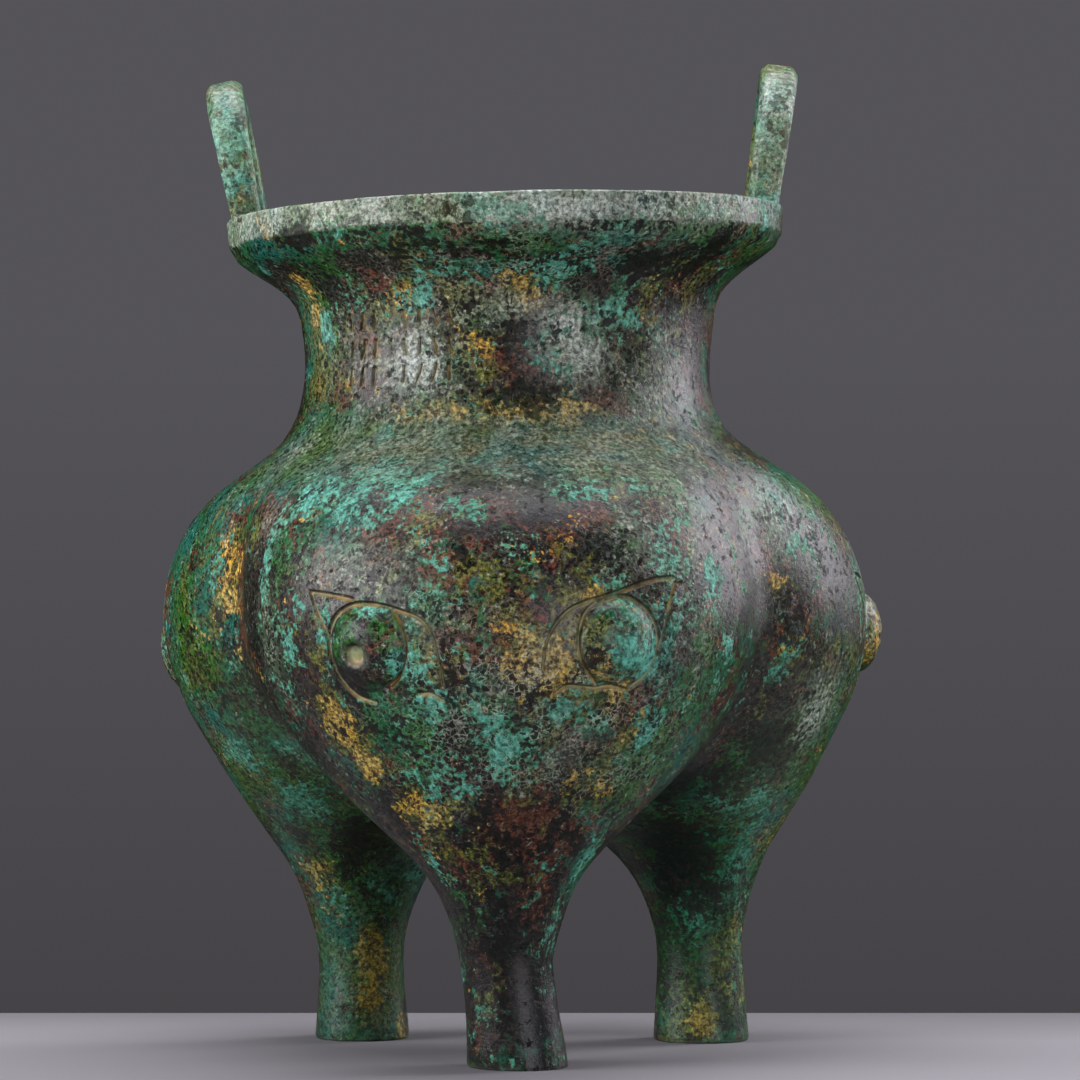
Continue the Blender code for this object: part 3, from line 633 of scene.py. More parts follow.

# %% [markdown]
# ## Where each colour lies
# Buried bronze doesn't turn evenly: malachite grows in crusts, red cuprite shows where a crust has
# come off, and ochre earth stays in hollows and under ledges. Soot darkens some places, and its
# near-black also stands as painted shade where the vessel lies in shadow; the undersides get a
# darker green tint as painted shade, and lit places a pale painted sheen. Each row is one soft spot:
# middle, breadth and tallness in millimetres, then strength.
# The sides that the photograph doesn't show get spots of the same sizes, thrown by a seeded hand.

# %% Spots of colour, kept as numbers on the points
SPOTS = {
    "green": ((36, 13, 26, 4, 9, 1.3), (45, 2, 54, 7, 8, 1.3), (-45, 2, 55, 7, 9, 1.0), (-62, -9, 183, 9, 11, 1.5), (54, -9, 184, 9, 14, 0.8), (22, -63, 83, 7, 7, 1.3), (14, -42, 35, 3, 16, 1.0), (-27, 17, 25, 3, 18, 0.8), (40, 0, 45, 9, 14, 0.5),
        (8, -44, 25, 4, 9, 0.9), (11, -50, 5, 3, 8, 0.7), (-25, 17, 22, 3, 13, 0.9),
        (11, -39, 157, 7, 6, 1.0), (20, -31, 148, 8, 5, 0.9), (27, -25, 149, 5, 4, 0.6),
        (-15, -41, 158, 8, 4, 0.5), (-32, -28, 155, 4, 6, 0.5), (-38, -17, 147, 3, 4, 0.9),
        (-19, -34, 151, 5, 3, 0.6), (-27, -53, 113, 19, 8, 0.65), (-42, -44, 110, 7, 9, 0.7),
        (-49, -43, 99, 3, 9, 0.9), (-44, -50, 84, 4, 12, 0.7), (-67, 2, 74, 3, 8, 0.9),
        (-56, 0, 59, 5, 6, 0.8), (-42, -1, 50, 6, 5, 1.0), (-20, -68, 88, 3, 6, 0.7),
        (-37, -58, 88, 3, 5, 0.7), (-27, -65, 90, 5, 3, 0.5), (-21, -67, 79, 6, 4, 0.8),
        (-15, -66, 72, 6, 5, 0.8), (-18, -58, 58, 7, 4, 0.6), (-2, -64, 63, 7, 6, 1.4),
        (10, -65, 70, 8, 4, 0.7), (-9, -70, 79, 3, 5, 0.7), (18, -55, 113, 13, 5, 0.5),
        (31, -56, 98, 5, 14, 0.7), (24, -62, 79, 4, 3, 1.0), (26, -62, 86, 3, 7, 0.8),
        (16, -65, 75, 7, 3, 0.5), (25, -56, 66, 3, 9, 1.6), (41, -45, 80, 5, 6, 0.9),
        (38, -50, 94, 3, 9, 0.6), (54, -22, 81, 4, 8, 0.8), (57, -18, 105, 8, 10, 0.6),
        (46, 10, 40, 4, 9, 1.0), (46, 19, 17, 3, 11, 0.9), (38, 14, 25, 4, 6, 0.6),
        (-38, 18, 29, 3, 4, 0.6), (-35, 19, 7, 5, 5, 0.5), (-3, -51, 168, 7, 3, 0.6),
        (36, -36, 169, 7, 3, 0.8), (50, -17, 167, 3, 3, 0.9), (-37, -40, 165, 7, 3, 0.5),
        (-61, -15, 100, 3, 7, 0.4), (26, -50, 61, 4, 5, 0.8), (70, 0, 92, 3, 6, 0.6),
        (7, -47, 39, 3, 7, 0.5)),
    "ochre": ((-35, -54, 66, 4, 7, 2.2), (52, -9, 176, 5, 6, 1.0), (-58, -9, 174, 5, 5, 0.8), (53, -9, 190, 4, 8, 0.8),
        (-44, -17, 156, 3, 6, 0.9), (-40, -13, 145, 3, 12, 0.9), (-34, -23, 135, 3, 3, 0.7),
        (-24, -31, 151, 6, 5, 0.8), (-10, -37, 151, 4, 4, 0.8), (0, -38, 154, 5, 6, 0.8),
        (-8, -36, 141, 4, 6, 0.7), (-17, -36, 128, 8, 3, 1.0), (5, -37, 129, 13, 4, 0.9),
        (24, -34, 124, 14, 3, 0.6), (34, -17, 152, 3, 12, 0.5), (25, -28, 154, 5, 5, 0.5),
        (-57, -20, 99, 5, 9, 0.7), (-52, -32, 107, 4, 4, 0.6), (-60, -17, 90, 3, 5, 0.8),
        (-55, -20, 80, 3, 6, 0.6), (-59, -12, 74, 3, 4, 0.6), (-38, -57, 84, 3, 10, 0.4),
        (-34, -54, 68, 4, 9, 0.4), (-28, -51, 59, 4, 4, 1.0), (-19, -53, 52, 6, 3, 1.0),
        (-14, -70, 81, 6, 8, 0.6), (7, -69, 80, 11, 6, 1.0), (19, -63, 74, 3, 5, 0.9),
        (21, -57, 64, 3, 6, 0.9), (16, -55, 56, 5, 4, 0.7), (-2, -71, 87, 6, 4, 0.5),
        (13, -68, 93, 5, 3, 0.6), (-3, -69, 99, 14, 7, 0.3), (55, -22, 84, 5, 4, 0.8),
        (51, -26, 94, 3, 4, 0.6), (-41, 15, 36, 4, 6, 1.0), (-31, 20, 16, 3, 13, 1.5),
        (-25, 24, 2, 3, 4, 0.7), (38, 14, 6, 5, 4, 1.4), (42, 14, 16, 3, 6, 1.2),
        (-9, -51, 168, 5, 3, 0.7), (5, -51, 168, 4, 3, 0.7), (-49, -27, 165, 5, 3, 0.7),
        (43, -28, 169, 3, 3, 0.6), (-1, -50, 38, 4, 3, 0.5), (26, -45, 57, 4, 3, 0.5),
        (70, 3, 81, 3, 3, 0.2), (-15, -49, 43, 4, 3, 0.5), (-53, -2, 57, 3, 7, 0.5),
        (-7, -47, 33, 3, 9, 0.3), (14, -54, 53, 7, 5, 0.4)),
    "red": ((-31, -24, 140, 4, 6, 0.7), (-35, -22, 134, 3, 4, 0.6), (-13, -35, 142, 4, 3, 0.6),
        (-6, -36, 139, 4, 3, 0.7), (19, -32, 130, 4, 3, 0.9), (8, -37, 129, 6, 3, 0.4),
        (-13, -69, 97, 8, 5, 0.8), (4, -66, 105, 5, 4, 0.9), (-2, -71, 93, 4, 9, 0.8),
        (-13, -70, 81, 3, 6, 1.0), (3, -70, 81, 5, 7, 0.8), (14, -67, 77, 6, 3, 0.7),
        (-32, -53, 66, 3, 8, 0.7), (-24, -52, 55, 4, 3, 0.6), (3, -55, 47, 9, 8, 0.7),
        (4, -46, 33, 6, 7, 0.7), (-55, -26, 90, 3, 8, 0.9), (-56, -20, 105, 3, 3, 0.7),
        (54, -23, 86, 4, 5, 0.7), (48, -27, 102, 3, 6, 0.4), (34, -23, 158, 3, 5, 0.5),
        (-44, -22, 158, 3, 3, 0.5), (-24, -31, 151, 3, 3, 0.5), (27, -39, 163, 3, 3, 0.4),
        (-22, -62, 106, 8, 4, 0.5), (20, -59, 107, 9, 4, 0.4), (38, 14, 3, 3, 3, 0.6),
        (46, 18, 4, 3, 3, 0.8), (-3, -63, 109, 7, 3, 0.5), (-9, -51, 168, 5, 3, 0.5)),
    # Soot, and painted shade on places in shadow such as the legs, the belly's middle and under the band.
    "soot": ((-40, 16, 14, 3, 14, 1.2), (47, 17, 14, 3, 14, 1.2), (30, 12, 30, 4, 12, 1.2), (30, 0, 45, 10, 20, 1.0), (44, 13, 9, 4, 9, 1.0), (-35, 12, 12, 4, 9, 0.8), (62, -11, 95, 8, 10, 1.0), (3, -62, 112, 12, 7, 0.6), (-4, -45, 25, 6, 18, 0.9), (29, -31, 159, 10, 4, 1.0), (39, -27, 163, 7, 3, 0.8), (-1, -48, 162, 3, 3, 0.7),
        (-23, -46, 162, 14, 3, 0.5), (-47, -29, 163, 9, 3, 0.7), (0, -37, 133, 13, 3, 0.8),
        (-2, -37, 146, 3, 4, 0.8), (16, -64, 102, 4, 4, 0.5), (8, -53, 117, 14, 3, 0.3),
        (-32, 8, 42, 8, 10, 1.0), (1, -44, 16, 9, 17, 0.9), (-3, -53, 44, 9, 7, 0.7),
        (32, 6, 41, 9, 17, 1.0), (51, -11, 63, 9, 6, 0.9), (40, -9, 53, 8, 7, 0.8),
        (-59, -12, 74, 4, 7, 0.6), (-43, -33, 64, 5, 4, 0.6), (-32, -59, 75, 5, 6, 0.8),
        (-24, -46, 49, 5, 4, 0.5), (-37, 20, 9, 3, 6, 0.7), (36, 14, 9, 3, 6, 0.5),
        (56, -21, 90, 4, 5, 0.7), (-12, -70, 80, 3, 6, 0.6), (14, -68, 80, 4, 3, 0.6),
        (-15, -35, 151, 5, 3, 0.6), (-56, -13, 72, 3, 3, 0.4), (-28, -64, 82, 4, 6, 0.6),
        (18, -43, 47, 6, 5, 0.4), (-45, 8, 45, 3, 5, 0.8), (5, -68, 75, 7, 3, 0.3),
        (-3, -63, 61, 3, 3, 0.2)),
    "deep": ((-23, -60, 68, 6, 8, 1.0), (-40, -20, 170, 25, 8, 1.0), (0, -45, 168, 25, 6, 0.8), (40, -20, 170, 20, 8, 0.6),
        (-38, -10, 145, 8, 16, 1.0), (42, -5, 145, 6, 16, 0.8), (-45, -25, 120, 22, 14, 0.9),
        (60, -5, 118, 12, 12, 0.8), (-65, -5, 85, 14, 30, 1.0), (-45, 0, 50, 18, 25, 1.0),
        (-33, 20, 18, 12, 25, 1.0), (45, 5, 50, 20, 28, 1.0), (42, 18, 18, 12, 25, 1.0),
        (30, -45, 65, 10, 22, 1.0), (14, -42, 30, 4, 20, 1.0), (-62, -5, 186, 9, 18, 1.0),
        (54, -5, 186, 9, 18, 0.5), (-20, -58, 82, 6, 8, 0.9), (22, -64, 84, 8, 8, 1.3), (22, -50, 52, 8, 14, 1.2), (30, -52, 66, 6, 12, 1.2)),
    "even": ((-55, 5, 60, 22, 35, 0.3), (55, 5, 60, 20, 45, 0.35), (-33, 20, 12, 14, 22, 0.4),
        (42, 18, 12, 14, 22, 0.35), (-38, -10, 150, 8, 22, 0.3), (0, -42, 122, 45, 7, 0.55)),
    "lace": ((5, -66, 70, 26, 15, 1.0), (20, -58, 58, 14, 12, 0.8), (-30, -58, 92, 8, 8, 0.5),
        (30, -52, 92, 10, 10, 0.6), (-2, -50, 158, 40, 6, 0.5)),
    # Grey-green film, and painted sheen where the surface catches light; above 1 it is a pale painted highlight.
    "film": ((22, -57, 103, 7, 7, 1.0), (-16, -68, 88, 7, 6, 0.7), (-48, -44, 84, 4, 12, 1.0), (-62, -7, 186, 9, 18, 0.6), (-64, -7, 200, 10, 8, 1.0), (53, -8, 187, 9, 18, 1.8), (6, -50, 168, 20, 4, 1.9), (34, -40, 169, 18, 4, 2.0),
        (-22, -40, 123, 24, 8, 1.1), (16, -45, 121, 26, 7, 1.15), (-44, -22, 120, 12, 8, 0.8), (3, -42, 124, 20, 5, 1.2), (-34, -22, 141, 10, 8, 0.6),
        (-20, -34, 139, 8, 9, 1.8), (10, -36, 146, 7, 6, 1.8), (-5, -38, 149, 10, 4, 1.0), (14, -35, 141, 7, 7, 1.8), (27, -28, 133, 7, 6, 1.3), (30, -24, 138, 8, 9, 0.9),
        (-32, -60, 99, 14, 6, 0.8), (-22, -67, 94, 9, 4, 0.6), (34, -50, 106, 8, 10, 0.5),
        (51, -22, 108, 8, 9, 0.9), (61, -15, 100, 6, 8, 0.3), (24, -52, 61, 5, 5, 0.3),
        (60, -7, 68, 7, 10, 1.9), (-17, -50, 168, 26, 3, 0.5),
        (24, -45, 169, 21, 3, 1.7), (8, -70, 82, 9, 3, 0.5), (-3, -69, 75, 12, 4, 0.5),
        (35, -54, 84, 5, 7, 0.5), (8, -63, 65, 9, 7, 0.5), (-9, -71, 88, 7, 4, 0.5),
        (-49, -38, 108, 7, 7, 0.6), (-58, -13, 112, 5, 6, 0.4), (-14, -35, 136, 5, 5, 0.7)),
}
# Spots of dirt and painted shade that darken places where the vessel lies in shadow.
DIRT_AND_SHADE_SPOTS = ((-40, -4, 58, 8, 12, 0.8), (33, 17, 25, 8, 20, 1.2), (32, -12, 55, 9, 12, 1.3), (-58, -12, 72, 8, 10, 0.6), (-53, 5, 62, 9, 14, 0.7), (-45, 10, 40, 9, 12, 0.7), (40, 16, 20, 12, 22, 0.9), (50, -16, 86, 8, 12, 0.6), (-50, 0, 52, 12, 14, 0.7), (34, 8, 42, 16, 30, 1.2), (36, -6, 60, 12, 12, 1.2), (66, -8, 92, 10, 10, 0.6), (-52, -6, 62, 10, 16, 0.6), (-2, -45, 25, 8, 20, 0.7), (-30, 10, 45, 9, 10, 0.8), (48, -8, 62, 10, 10, 0.8))
HIDDEN_SPOTS = {"green": 60, "ochre": 36, "red": 34, "soot": 22, "deep": 40, "even": 20, "lace": 10, "film": 12}
points = coordinates(vessel)
normals = np.empty(3 * len(points))
vessel.data.vertices.foreach_get("normal", normals)
normals = normals.reshape(-1, 3)
outwards = (normals[:, :2] * (points[:, :2] - STANCE[:2])).sum(axis=1) > 0
hidden = np.flatnonzero(outwards & (points[:, 1] > 0.012) & (points[:, 2] > 0.004))
upright = (points[:, 0] - STANCE[0]) * math.sin(LEAN) + points[:, 2] * math.cos(LEAN)
far_out = np.hypot(points[:, 0] - STANCE[0], points[:, 1] - STANCE[1]) > LIP_RADIUS - 0.003
around = np.arctan2(points[:, 0] - STANCE[0], -points[:, 1])
# The band is painted paler, mottled round the rim, as film and as painted light on its lit face; above 1 it becomes a
# painted sheen.
mottle = np.sin(7 * around + 1.0) * np.sin(17 * around + 2.0) + 0.6 * np.sin(29 * around)
band_film_and_light = (1.25 + 0.45 * mottle) * (far_out & (upright > BAND_FOOT) & (upright < RIM + 0.001))
# Just under the band: a painted shadow line, laid as soot, and a deep green.
green_and_shadow_under_band = np.exp(-(((BAND_FOOT - 0.0015 - upright) / 0.0025) ** 2)) * (upright < BAND_FOOT)
on_handles = upright > RIM + 0.0008
RINGS = {"film": band_film_and_light, "soot": np.maximum(0.35 * green_and_shadow_under_band, 0.2 * on_handles), "deep": np.maximum(green_and_shadow_under_band, on_handles), "even": np.maximum(0.2 * band_film_and_light, 0.45 * on_handles)}


def spot_shares(spots, value):
    """The most that any of the spots, or the value given, asks for at each point."""
    for x, y, z, breadth, tallness, strength in spots:
        away = (points * 1000 - (x, y, z)) / (breadth, breadth, tallness)
        value = np.maximum(value, strength * np.exp(-(away**2).sum(axis=1)))
    return value


# Painted shade with some dirt: faces turned down and the low legs get a darker green tint, as if in shadow.
facing_down = np.clip(-1.5 * normals[:, 2], 0, 1) * np.clip((0.115 - points[:, 2]) / 0.02, 0, 1)
legs = 0.45 * np.clip((0.060 - points[:, 2]) / 0.03, 0, 1)
dirt = np.where(normals[:, 2] < -0.95, 1, np.maximum(0.35 * facing_down, legs))
keep_attribute(vessel, "dirt", np.clip(spot_shares(DIRT_AND_SHADE_SPOTS, dirt), 0, 1))
for zone, spots in SPOTS.items():
    spots = list(spots)
    for _ in range(HIDDEN_SPOTS[zone]):
        x, y, z = points[hidden[random.randrange(len(hidden))]] * 1000
        spots.append((x, y, z, random.uniform(4, 11), random.uniform(4, 14), random.uniform(0.5, 1)))
    value = spot_shares(spots, RINGS.get(zone, np.zeros(len(points))))
    keep_attribute(vessel, zone, value)
    print(zone, len(spots), "spots, mean", round(float(value.mean()), 3))

# %% [markdown]
# ## Shader groups that any old metal could use
# Three small groups make the varying masks. "mineral patches" grows ragged islands from layered
# noise, more where a zone asks for them. "speckle" is the fine grain of a corroded skin. "rubbed
# edges and highlights" finds the sharp outer edges that are painted pale: edges that hands and
# cloths rub bare, and a painted highlight where they catch the light.

# %% Node helpers and the shared groups
def add_node(tree, kind, inputs=(), **settings):
    """A node with its settings, and its inputs set to values or joined to other nodes' outputs."""
    made = tree.nodes.new(kind)
    for name, value in settings.items():
        setattr(made, name, value)
    for name, value in dict(inputs).items():
        if isinstance(value, bpy.types.NodeSocket):
            tree.links.new(value, made.inputs[name])
        else:
            made.inputs[name].default_value = value
    return made


def maths(tree, operation, *values, clamp=False):
    node = add_node(tree, "ShaderNodeMath", enumerate(values), operation=operation, use_clamp=clamp)
    return node.outputs[0]


def blend(tree, share, first, second, mode="MIX"):
    """Colours mixed by a share."""
    node = add_node(tree, "ShaderNodeMix", {0: share, 6: first, 7: second}, data_type="RGBA", blend_type=mode)
    return node.outputs[2]


def new_group(name, inputs, outputs):
    """An empty shader group with named sockets, and its input and output nodes."""
    tree = bpy.data.node_groups.new(name, "ShaderNodeTree")
    for label, kind, value in inputs:
        socket = tree.interface.new_socket(label, in_out="INPUT", socket_type="NodeSocket" + kind)
        if value is not None:
            socket.default_value = value
    for label in outputs:
        tree.interface.new_socket(label, in_out="OUTPUT", socket_type="NodeSocketFloat")
    return tree, tree.nodes.new("NodeGroupInput").outputs, tree.nodes.new("NodeGroupOutput")


def patches_group():
    """Ragged islands of a mineral, pierced by a finer noise. Cover is how much of the surface they
    take where no zone asks for more."""
    inputs = (("Vector", "Vector", None), ("Scale", "Float", 100.0), ("Cover", "Float", 0.5),
              ("Zone", "Float", 0.0), ("Zone Gain", "Float", 0.2), ("Softness", "Float", 0.02),
              ("Pierced", "Float", 0.8))
    tree, given, result = new_group("mineral patches", inputs, ("Mask", "Thickness"))
    broad = add_node(tree, "ShaderNodeTexNoise", {"Vector": given["Vector"], "Scale": given["Scale"],
                                                  "Detail": 5.0, "Roughness": 0.6, "Distortion": 0.3})
    finer = maths(tree, "MULTIPLY", given["Scale"], 6.5)
    lace = add_node(tree, "ShaderNodeTexNoise", {"Vector": given["Vector"], "Scale": finer,
                                                 "Detail": 4.0, "Roughness": 0.6})
    pierced = maths(tree, "MULTIPLY", given["Pierced"], maths(tree, "SUBTRACT", lace.outputs["Fac"], 0.5))
    grown = maths(tree, "ADD", broad.outputs["Fac"], pierced)
    grown = maths(tree, "MULTIPLY_ADD", given["Zone"], given["Zone Gain"], grown)
    above = maths(tree, "SUBTRACT", grown, maths(tree, "SUBTRACT", 1.0, given["Cover"]))
    mask = maths(tree, "DIVIDE", above, given["Softness"], clamp=True)
    tree.links.new(mask, result.inputs["Mask"])
    tree.links.new(maths(tree, "MULTIPLY", above, 5.0, clamp=True), result.inputs["Thickness"])
    return tree


def speckle_group():
    """Fine grain: a value round a half, and the share of small pits."""
    inputs = (("Vector", "Vector", None), ("Scale", "Float", 900.0))
    tree, given, result = new_group("speckle", inputs, ("Grain", "Pits"))
    grain = add_node(tree, "ShaderNodeTexNoise", {"Vector": given["Vector"], "Scale": given["Scale"],
                                                  "Detail": 4.0, "Roughness": 0.75})
    coarse = maths(tree, "MULTIPLY", given["Scale"], 0.45)
    pits = add_node(tree, "ShaderNodeTexNoise", {"Vector": given["Vector"], "Scale": coarse,
                                                 "Detail": 6.0, "Roughness": 0.7})
    tree.links.new(grain.outputs["Fac"], result.inputs["Grain"])
    deep = add_node(tree, "ShaderNodeMapRange", {0: pits.outputs["Fac"], 1: 0.57, 2: 0.66})
    tree.links.new(deep.outputs[0], result.inputs["Pits"])
    return tree


def rubbed_edge_highlight_group():
    """Sharp outer edges, broken up by a little noise, painted pale as rubbed metal and as a highlight."""
    inputs = (("Vector", "Vector", None), ("Amount", "Float", 0.5))
    tree, given, result = new_group("rubbed edges and highlights", inputs, ("Mask",))
    shape = add_node(tree, "ShaderNodeNewGeometry")
    noise = add_node(tree, "ShaderNodeTexNoise", {"Vector": given["Vector"], "Scale": 260.0, "Detail": 5.0})
    edge = add_node(tree, "ShaderNodeMapRange", {0: shape.outputs["Pointiness"], 1: 0.52, 2: 0.60})
    broken = add_node(tree, "ShaderNodeMapRange", {0: noise.outputs["Fac"], 1: 0.35, 2: 0.6})
    worn = maths(tree, "MULTIPLY", edge.outputs[0], broken.outputs[0])
    tree.links.new(maths(tree, "MULTIPLY", worn, given["Amount"], clamp=True), result.inputs["Mask"])
    return tree


def crackle_group():
    """A net of fine threads, and the cells between them that are bare, as where a crust is breaking up."""
    inputs = (("Vector", "Vector", None), ("Scale", "Float", 600.0), ("Bare", "Float", 0.3))
    tree, given, result = new_group("crackle", inputs, ("Net", "Hole"))
    warp = add_node(tree, "ShaderNodeTexNoise", {"Vector": given["Vector"], "Scale": 520.0, "Detail": 4.0})
    bent = add_node(tree, "ShaderNodeVectorMath", {0: warp.outputs["Color"], 1: (0.0024,) * 3, 2: given["Vector"]},
                    operation="MULTIPLY_ADD").outputs[0]
    cells = {"Vector": bent, "Scale": given["Scale"]}
    edge = add_node(tree, "ShaderNodeTexVoronoi", cells, feature="DISTANCE_TO_EDGE").outputs["Distance"]
    lot = add_node(tree, "ShaderNodeTexVoronoi", cells, feature="F1").outputs["Color"]
    drawn = add_node(tree, "ShaderNodeSeparateColor", {0: lot}).outputs[0]
    net = add_node(tree, "ShaderNodeMapRange", {0: edge, 1: 0.01, 2: 0.12, 3: 1.0, 4: 0.0})
    tree.links.new(net.outputs[0], result.inputs["Net"])
    bare = maths(tree, "MULTIPLY", maths(tree, "SUBTRACT", given["Bare"], drawn), 6.0, clamp=True)
    inside = add_node(tree, "ShaderNodeMapRange", {0: edge, 1: 0.06, 2: 0.16})
    tree.links.new(maths(tree, "MULTIPLY", bare, inside.outputs[0]), result.inputs["Hole"])
    return tree


PATCHES, SPECKLE, RUBBED_EDGE_HIGHLIGHT, CRACKLE = patches_group(), speckle_group(), rubbed_edge_highlight_group(), crackle_group()

# %% [markdown]
# ## The old bronze itself
# From the metal outwards: a brown-black skin, red cuprite, thin ochre and grey-green films, thick
# malachite in two greens, soot, and earth that stays in the carved lines. Thin films only tint,
# and crusts stand up a little and are dull, while the bare skin keeps a waxy sheen. Some colours are
# painted light and shade: the film turns into a pale painted sheen above 1, soot and a darker green
# tint stand as painted shade, the carved lines and pupils get painted shadow on their upper walls
# and pale earth with painted light on their lower walls, and sharp edges are painted pale, as
# rubbed metal and as painted highlight.

# %% Patina material
def colour(red, green, blue):
    return (red, green, blue, 1.0)


patina = bpy.data.materials.new("old bronze")
patina.use_nodes = True
tree = patina.node_tree
shader = tree.nodes["Principled BSDF"]
place = add_node(tree, "ShaderNodeTexCoord").outputs["Object"]


def zone(name):
    return add_node(tree, "ShaderNodeAttribute", attribute_name=name).outputs["Fac"]


def patches(scale, cover, zone_name, gain, softness, pierced, shift):
    """One mineral's mask and thickness. The shift keeps its islands off the others'."""
    where = add_node(tree, "ShaderNodeVectorMath", {0: place, 1: (shift, shift, shift)}).outputs[0]
    settings = {"Vector": where, "Scale": scale, "Cover": cover, "Zone": zone(zone_name), "Zone Gain": gain,
                "Softness": softness, "Pierced": pierced}
    group = add_node(tree, "ShaderNodeGroup", node_tree=PATCHES)
    for name, value in settings.items():
        if isinstance(value, bpy.types.NodeSocket):
            tree.links.new(value, group.inputs[name])
        else:
            group.inputs[name].default_value = value
    return group.outputs["Mask"], group.outputs["Thickness"]


def laid_over(skin, mask, strength, paint):
    """The skin with a film of paint over it."""
    return blend(tree, maths(tree, "MULTIPLY", mask, strength), skin, paint)


speckle = add_node(tree, "ShaderNodeGroup", node_tree=SPECKLE)
tree.links.new(place, speckle.inputs["Vector"])
speckle.inputs["Scale"].default_value = 1100.0
grain, pits = speckle.outputs["Grain"], speckle.outputs["Pits"]
sharp_grain = add_node(tree, "ShaderNodeMapRange", {0: grain, 1: 0.38, 2: 0.62}).outputs[0]
broad = add_node(tree, "ShaderNodeTexNoise", {"Vector": place, "Scale": 70.0, "Detail": 7.0}).outputs["Fac"]
shade = add_node(tree, "ShaderNodeMapRange", {0: broad, 1: 0.38, 2: 0.62}).outputs[0]
tint_noise = add_node(tree, "ShaderNodeTexNoise", {"Vector": place, "Scale": 180.0, "Detail": 6.0}).outputs["Fac"]
grown = add_node(tree, "ShaderNodeMapRange", {0: tint_noise, 1: 0.42, 2: 0.60}).outputs[0]
crackle = add_node(tree, "ShaderNodeGroup", node_tree=CRACKLE)
tree.links.new(place, crackle.inputs["Vector"])
crackle.inputs["Scale"].default_value = 860.0
tree.links.new(maths(tree, "MULTIPLY_ADD", shade, -0.50, 0.60), crackle.inputs["Bare"])
net, hole = crackle.outputs["Net"], crackle.outputs["Hole"]

skin = blend(tree, shade, colour(0.010, 0.010, 0.008), colour(0.030, 0.016, 0.012))
skin = blend(tree, sharp_grain, colour(0.002, 0.003, 0.002), skin)
deep, deep_thick = patches(60.0, 0.46, "deep", 0.40, 0.10, 0.4, 0.71)
skin = laid_over(skin, deep, 0.92, blend(tree, shade, colour(0.014, 0.095, 0.004), colour(0.001, 0.090, 0.060)))
red, red_thick = patches(95.0, 0.42, "red", 0.30, 0.04, 0.7, 0.31)
skin = laid_over(skin, red, 0.9, blend(tree, sharp_grain, colour(0.020, 0.005, 0.003), colour(0.115, 0.029, 0.012)))
olive, olive_thick = patches(70.0, 0.42, "ochre", 0.34, 0.10, 0.6, 0.13)
skin = laid_over(skin, olive, 0.85, blend(tree, sharp_grain, colour(0.020, 0.026, 0.003), colour(0.12, 0.125, 0.015)))
ochre, ochre_thick = patches(120.0, 0.31, "ochre", 0.33, 0.04, 0.6, 0.17)
rust = blend(tree, shade, colour(0.50, 0.28, 0.015), colour(0.42, 0.31, 0.08))
skin = laid_over(skin, ochre, 0.92, blend(tree, sharp_grain, colour(0.14, 0.07, 0.005), rust))
skin = laid_over(skin, zone("film"), 0.55, blend(tree, shade, colour(0.10, 0.165, 0.085), colour(0.19, 0.20, 0.16)))
film, film_and_sheen_thick = patches(170.0, 0.34, "film", 0.24, 0.12, 1.1, 0.53)
skin = laid_over(skin, film, 0.55, blend(tree, sharp_grain, colour(0.11, 0.13, 0.09), colour(0.31, 0.36, 0.27)))

# Where the film zone passes 1, a pale painted sheen: a painted highlight.
painted_sheen = maths(tree, "SUBTRACT", zone("film"), 1.0, clamp=True)
skin = laid_over(skin, painted_sheen, 0.9, blend(tree, sharp_grain, colour(0.25, 0.30, 0.25), colour(0.44, 0.49, 0.43)))
green, green_thick = patches(115.0, 0.355, "green", 0.32, 0.03, 0.8, 0.43)
tint = blend(tree, shade, colour(0.030, 0.130, 0.035), colour(0.055, 0.200, 0.130))
tint = blend(tree, green_thick, tint, blend(tree, zone("film"), colour(0.08, 0.36, 0.27), colour(0.20, 0.33, 0.25)))
skin = laid_over(skin, green, 0.95, tint)

paling = maths(tree, "MULTIPLY_ADD", maths(tree, "MULTIPLY", zone("lace"), grown), 0.9, 0.05)
skin = laid_over(skin, net, paling, colour(0.34, 0.36, 0.28))

# Soot, and painted shade where the vessel lies in shadow.
soot, soot_and_shade_thick = patches(110.0, 0.38, "soot", 0.30, 0.04, 0.8, 0.93)
skin = laid_over(skin, soot, 0.94, colour(0.004, 0.005, 0.003))
handled = blend(tree, shade, colour(0.13, 0.18, 0.04), colour(0.06, 0.24, 0.19))
skin = laid_over(skin, zone("even"), 0.7, blend(tree, maths(tree, "MULTIPLY", grown, 0.45), handled, colour(0.36, 0.27, 0.10)))

fine = add_node(tree, "ShaderNodeMapRange", {0: grain, 1: 0.36, 2: 0.64, 3: 0.32, 4: 1.90}).outputs[0]
skin = add_node(tree, "ShaderNodeVectorMath", {0: skin, "Scale": fine}, operation="SCALE").outputs[0]
# Dirt and painted shade: a darker green tint on the undersides, the low legs and the spots listed above.
dirt_and_shade_tint = blend(tree, zone("dirt"), colour(1, 1, 1), colour(0.05, 0.29, 0.17))
skin = blend(tree, 1.0, skin, dirt_and_shade_tint, "MULTIPLY")
crusted = maths(tree, "MAXIMUM", zone("film"), maths(tree, "MAXIMUM", zone("ochre"), zone("green")))
crusted = maths(tree, "SUBTRACT", crusted, 1.0, clamp=True)
bare = maths(tree, "MULTIPLY_ADD", zone("even"), -0.8, 0.9)
bare = maths(tree, "MULTIPLY_ADD", crusted, -0.75, bare, clamp=True)
skin = laid_over(skin, hole, bare, blend(tree, shade, colour(0.004, 0.004, 0.003), colour(0.024, 0.009, 0.006)))
skin = laid_over(skin, pits, bare, colour(0.004, 0.004, 0.003))

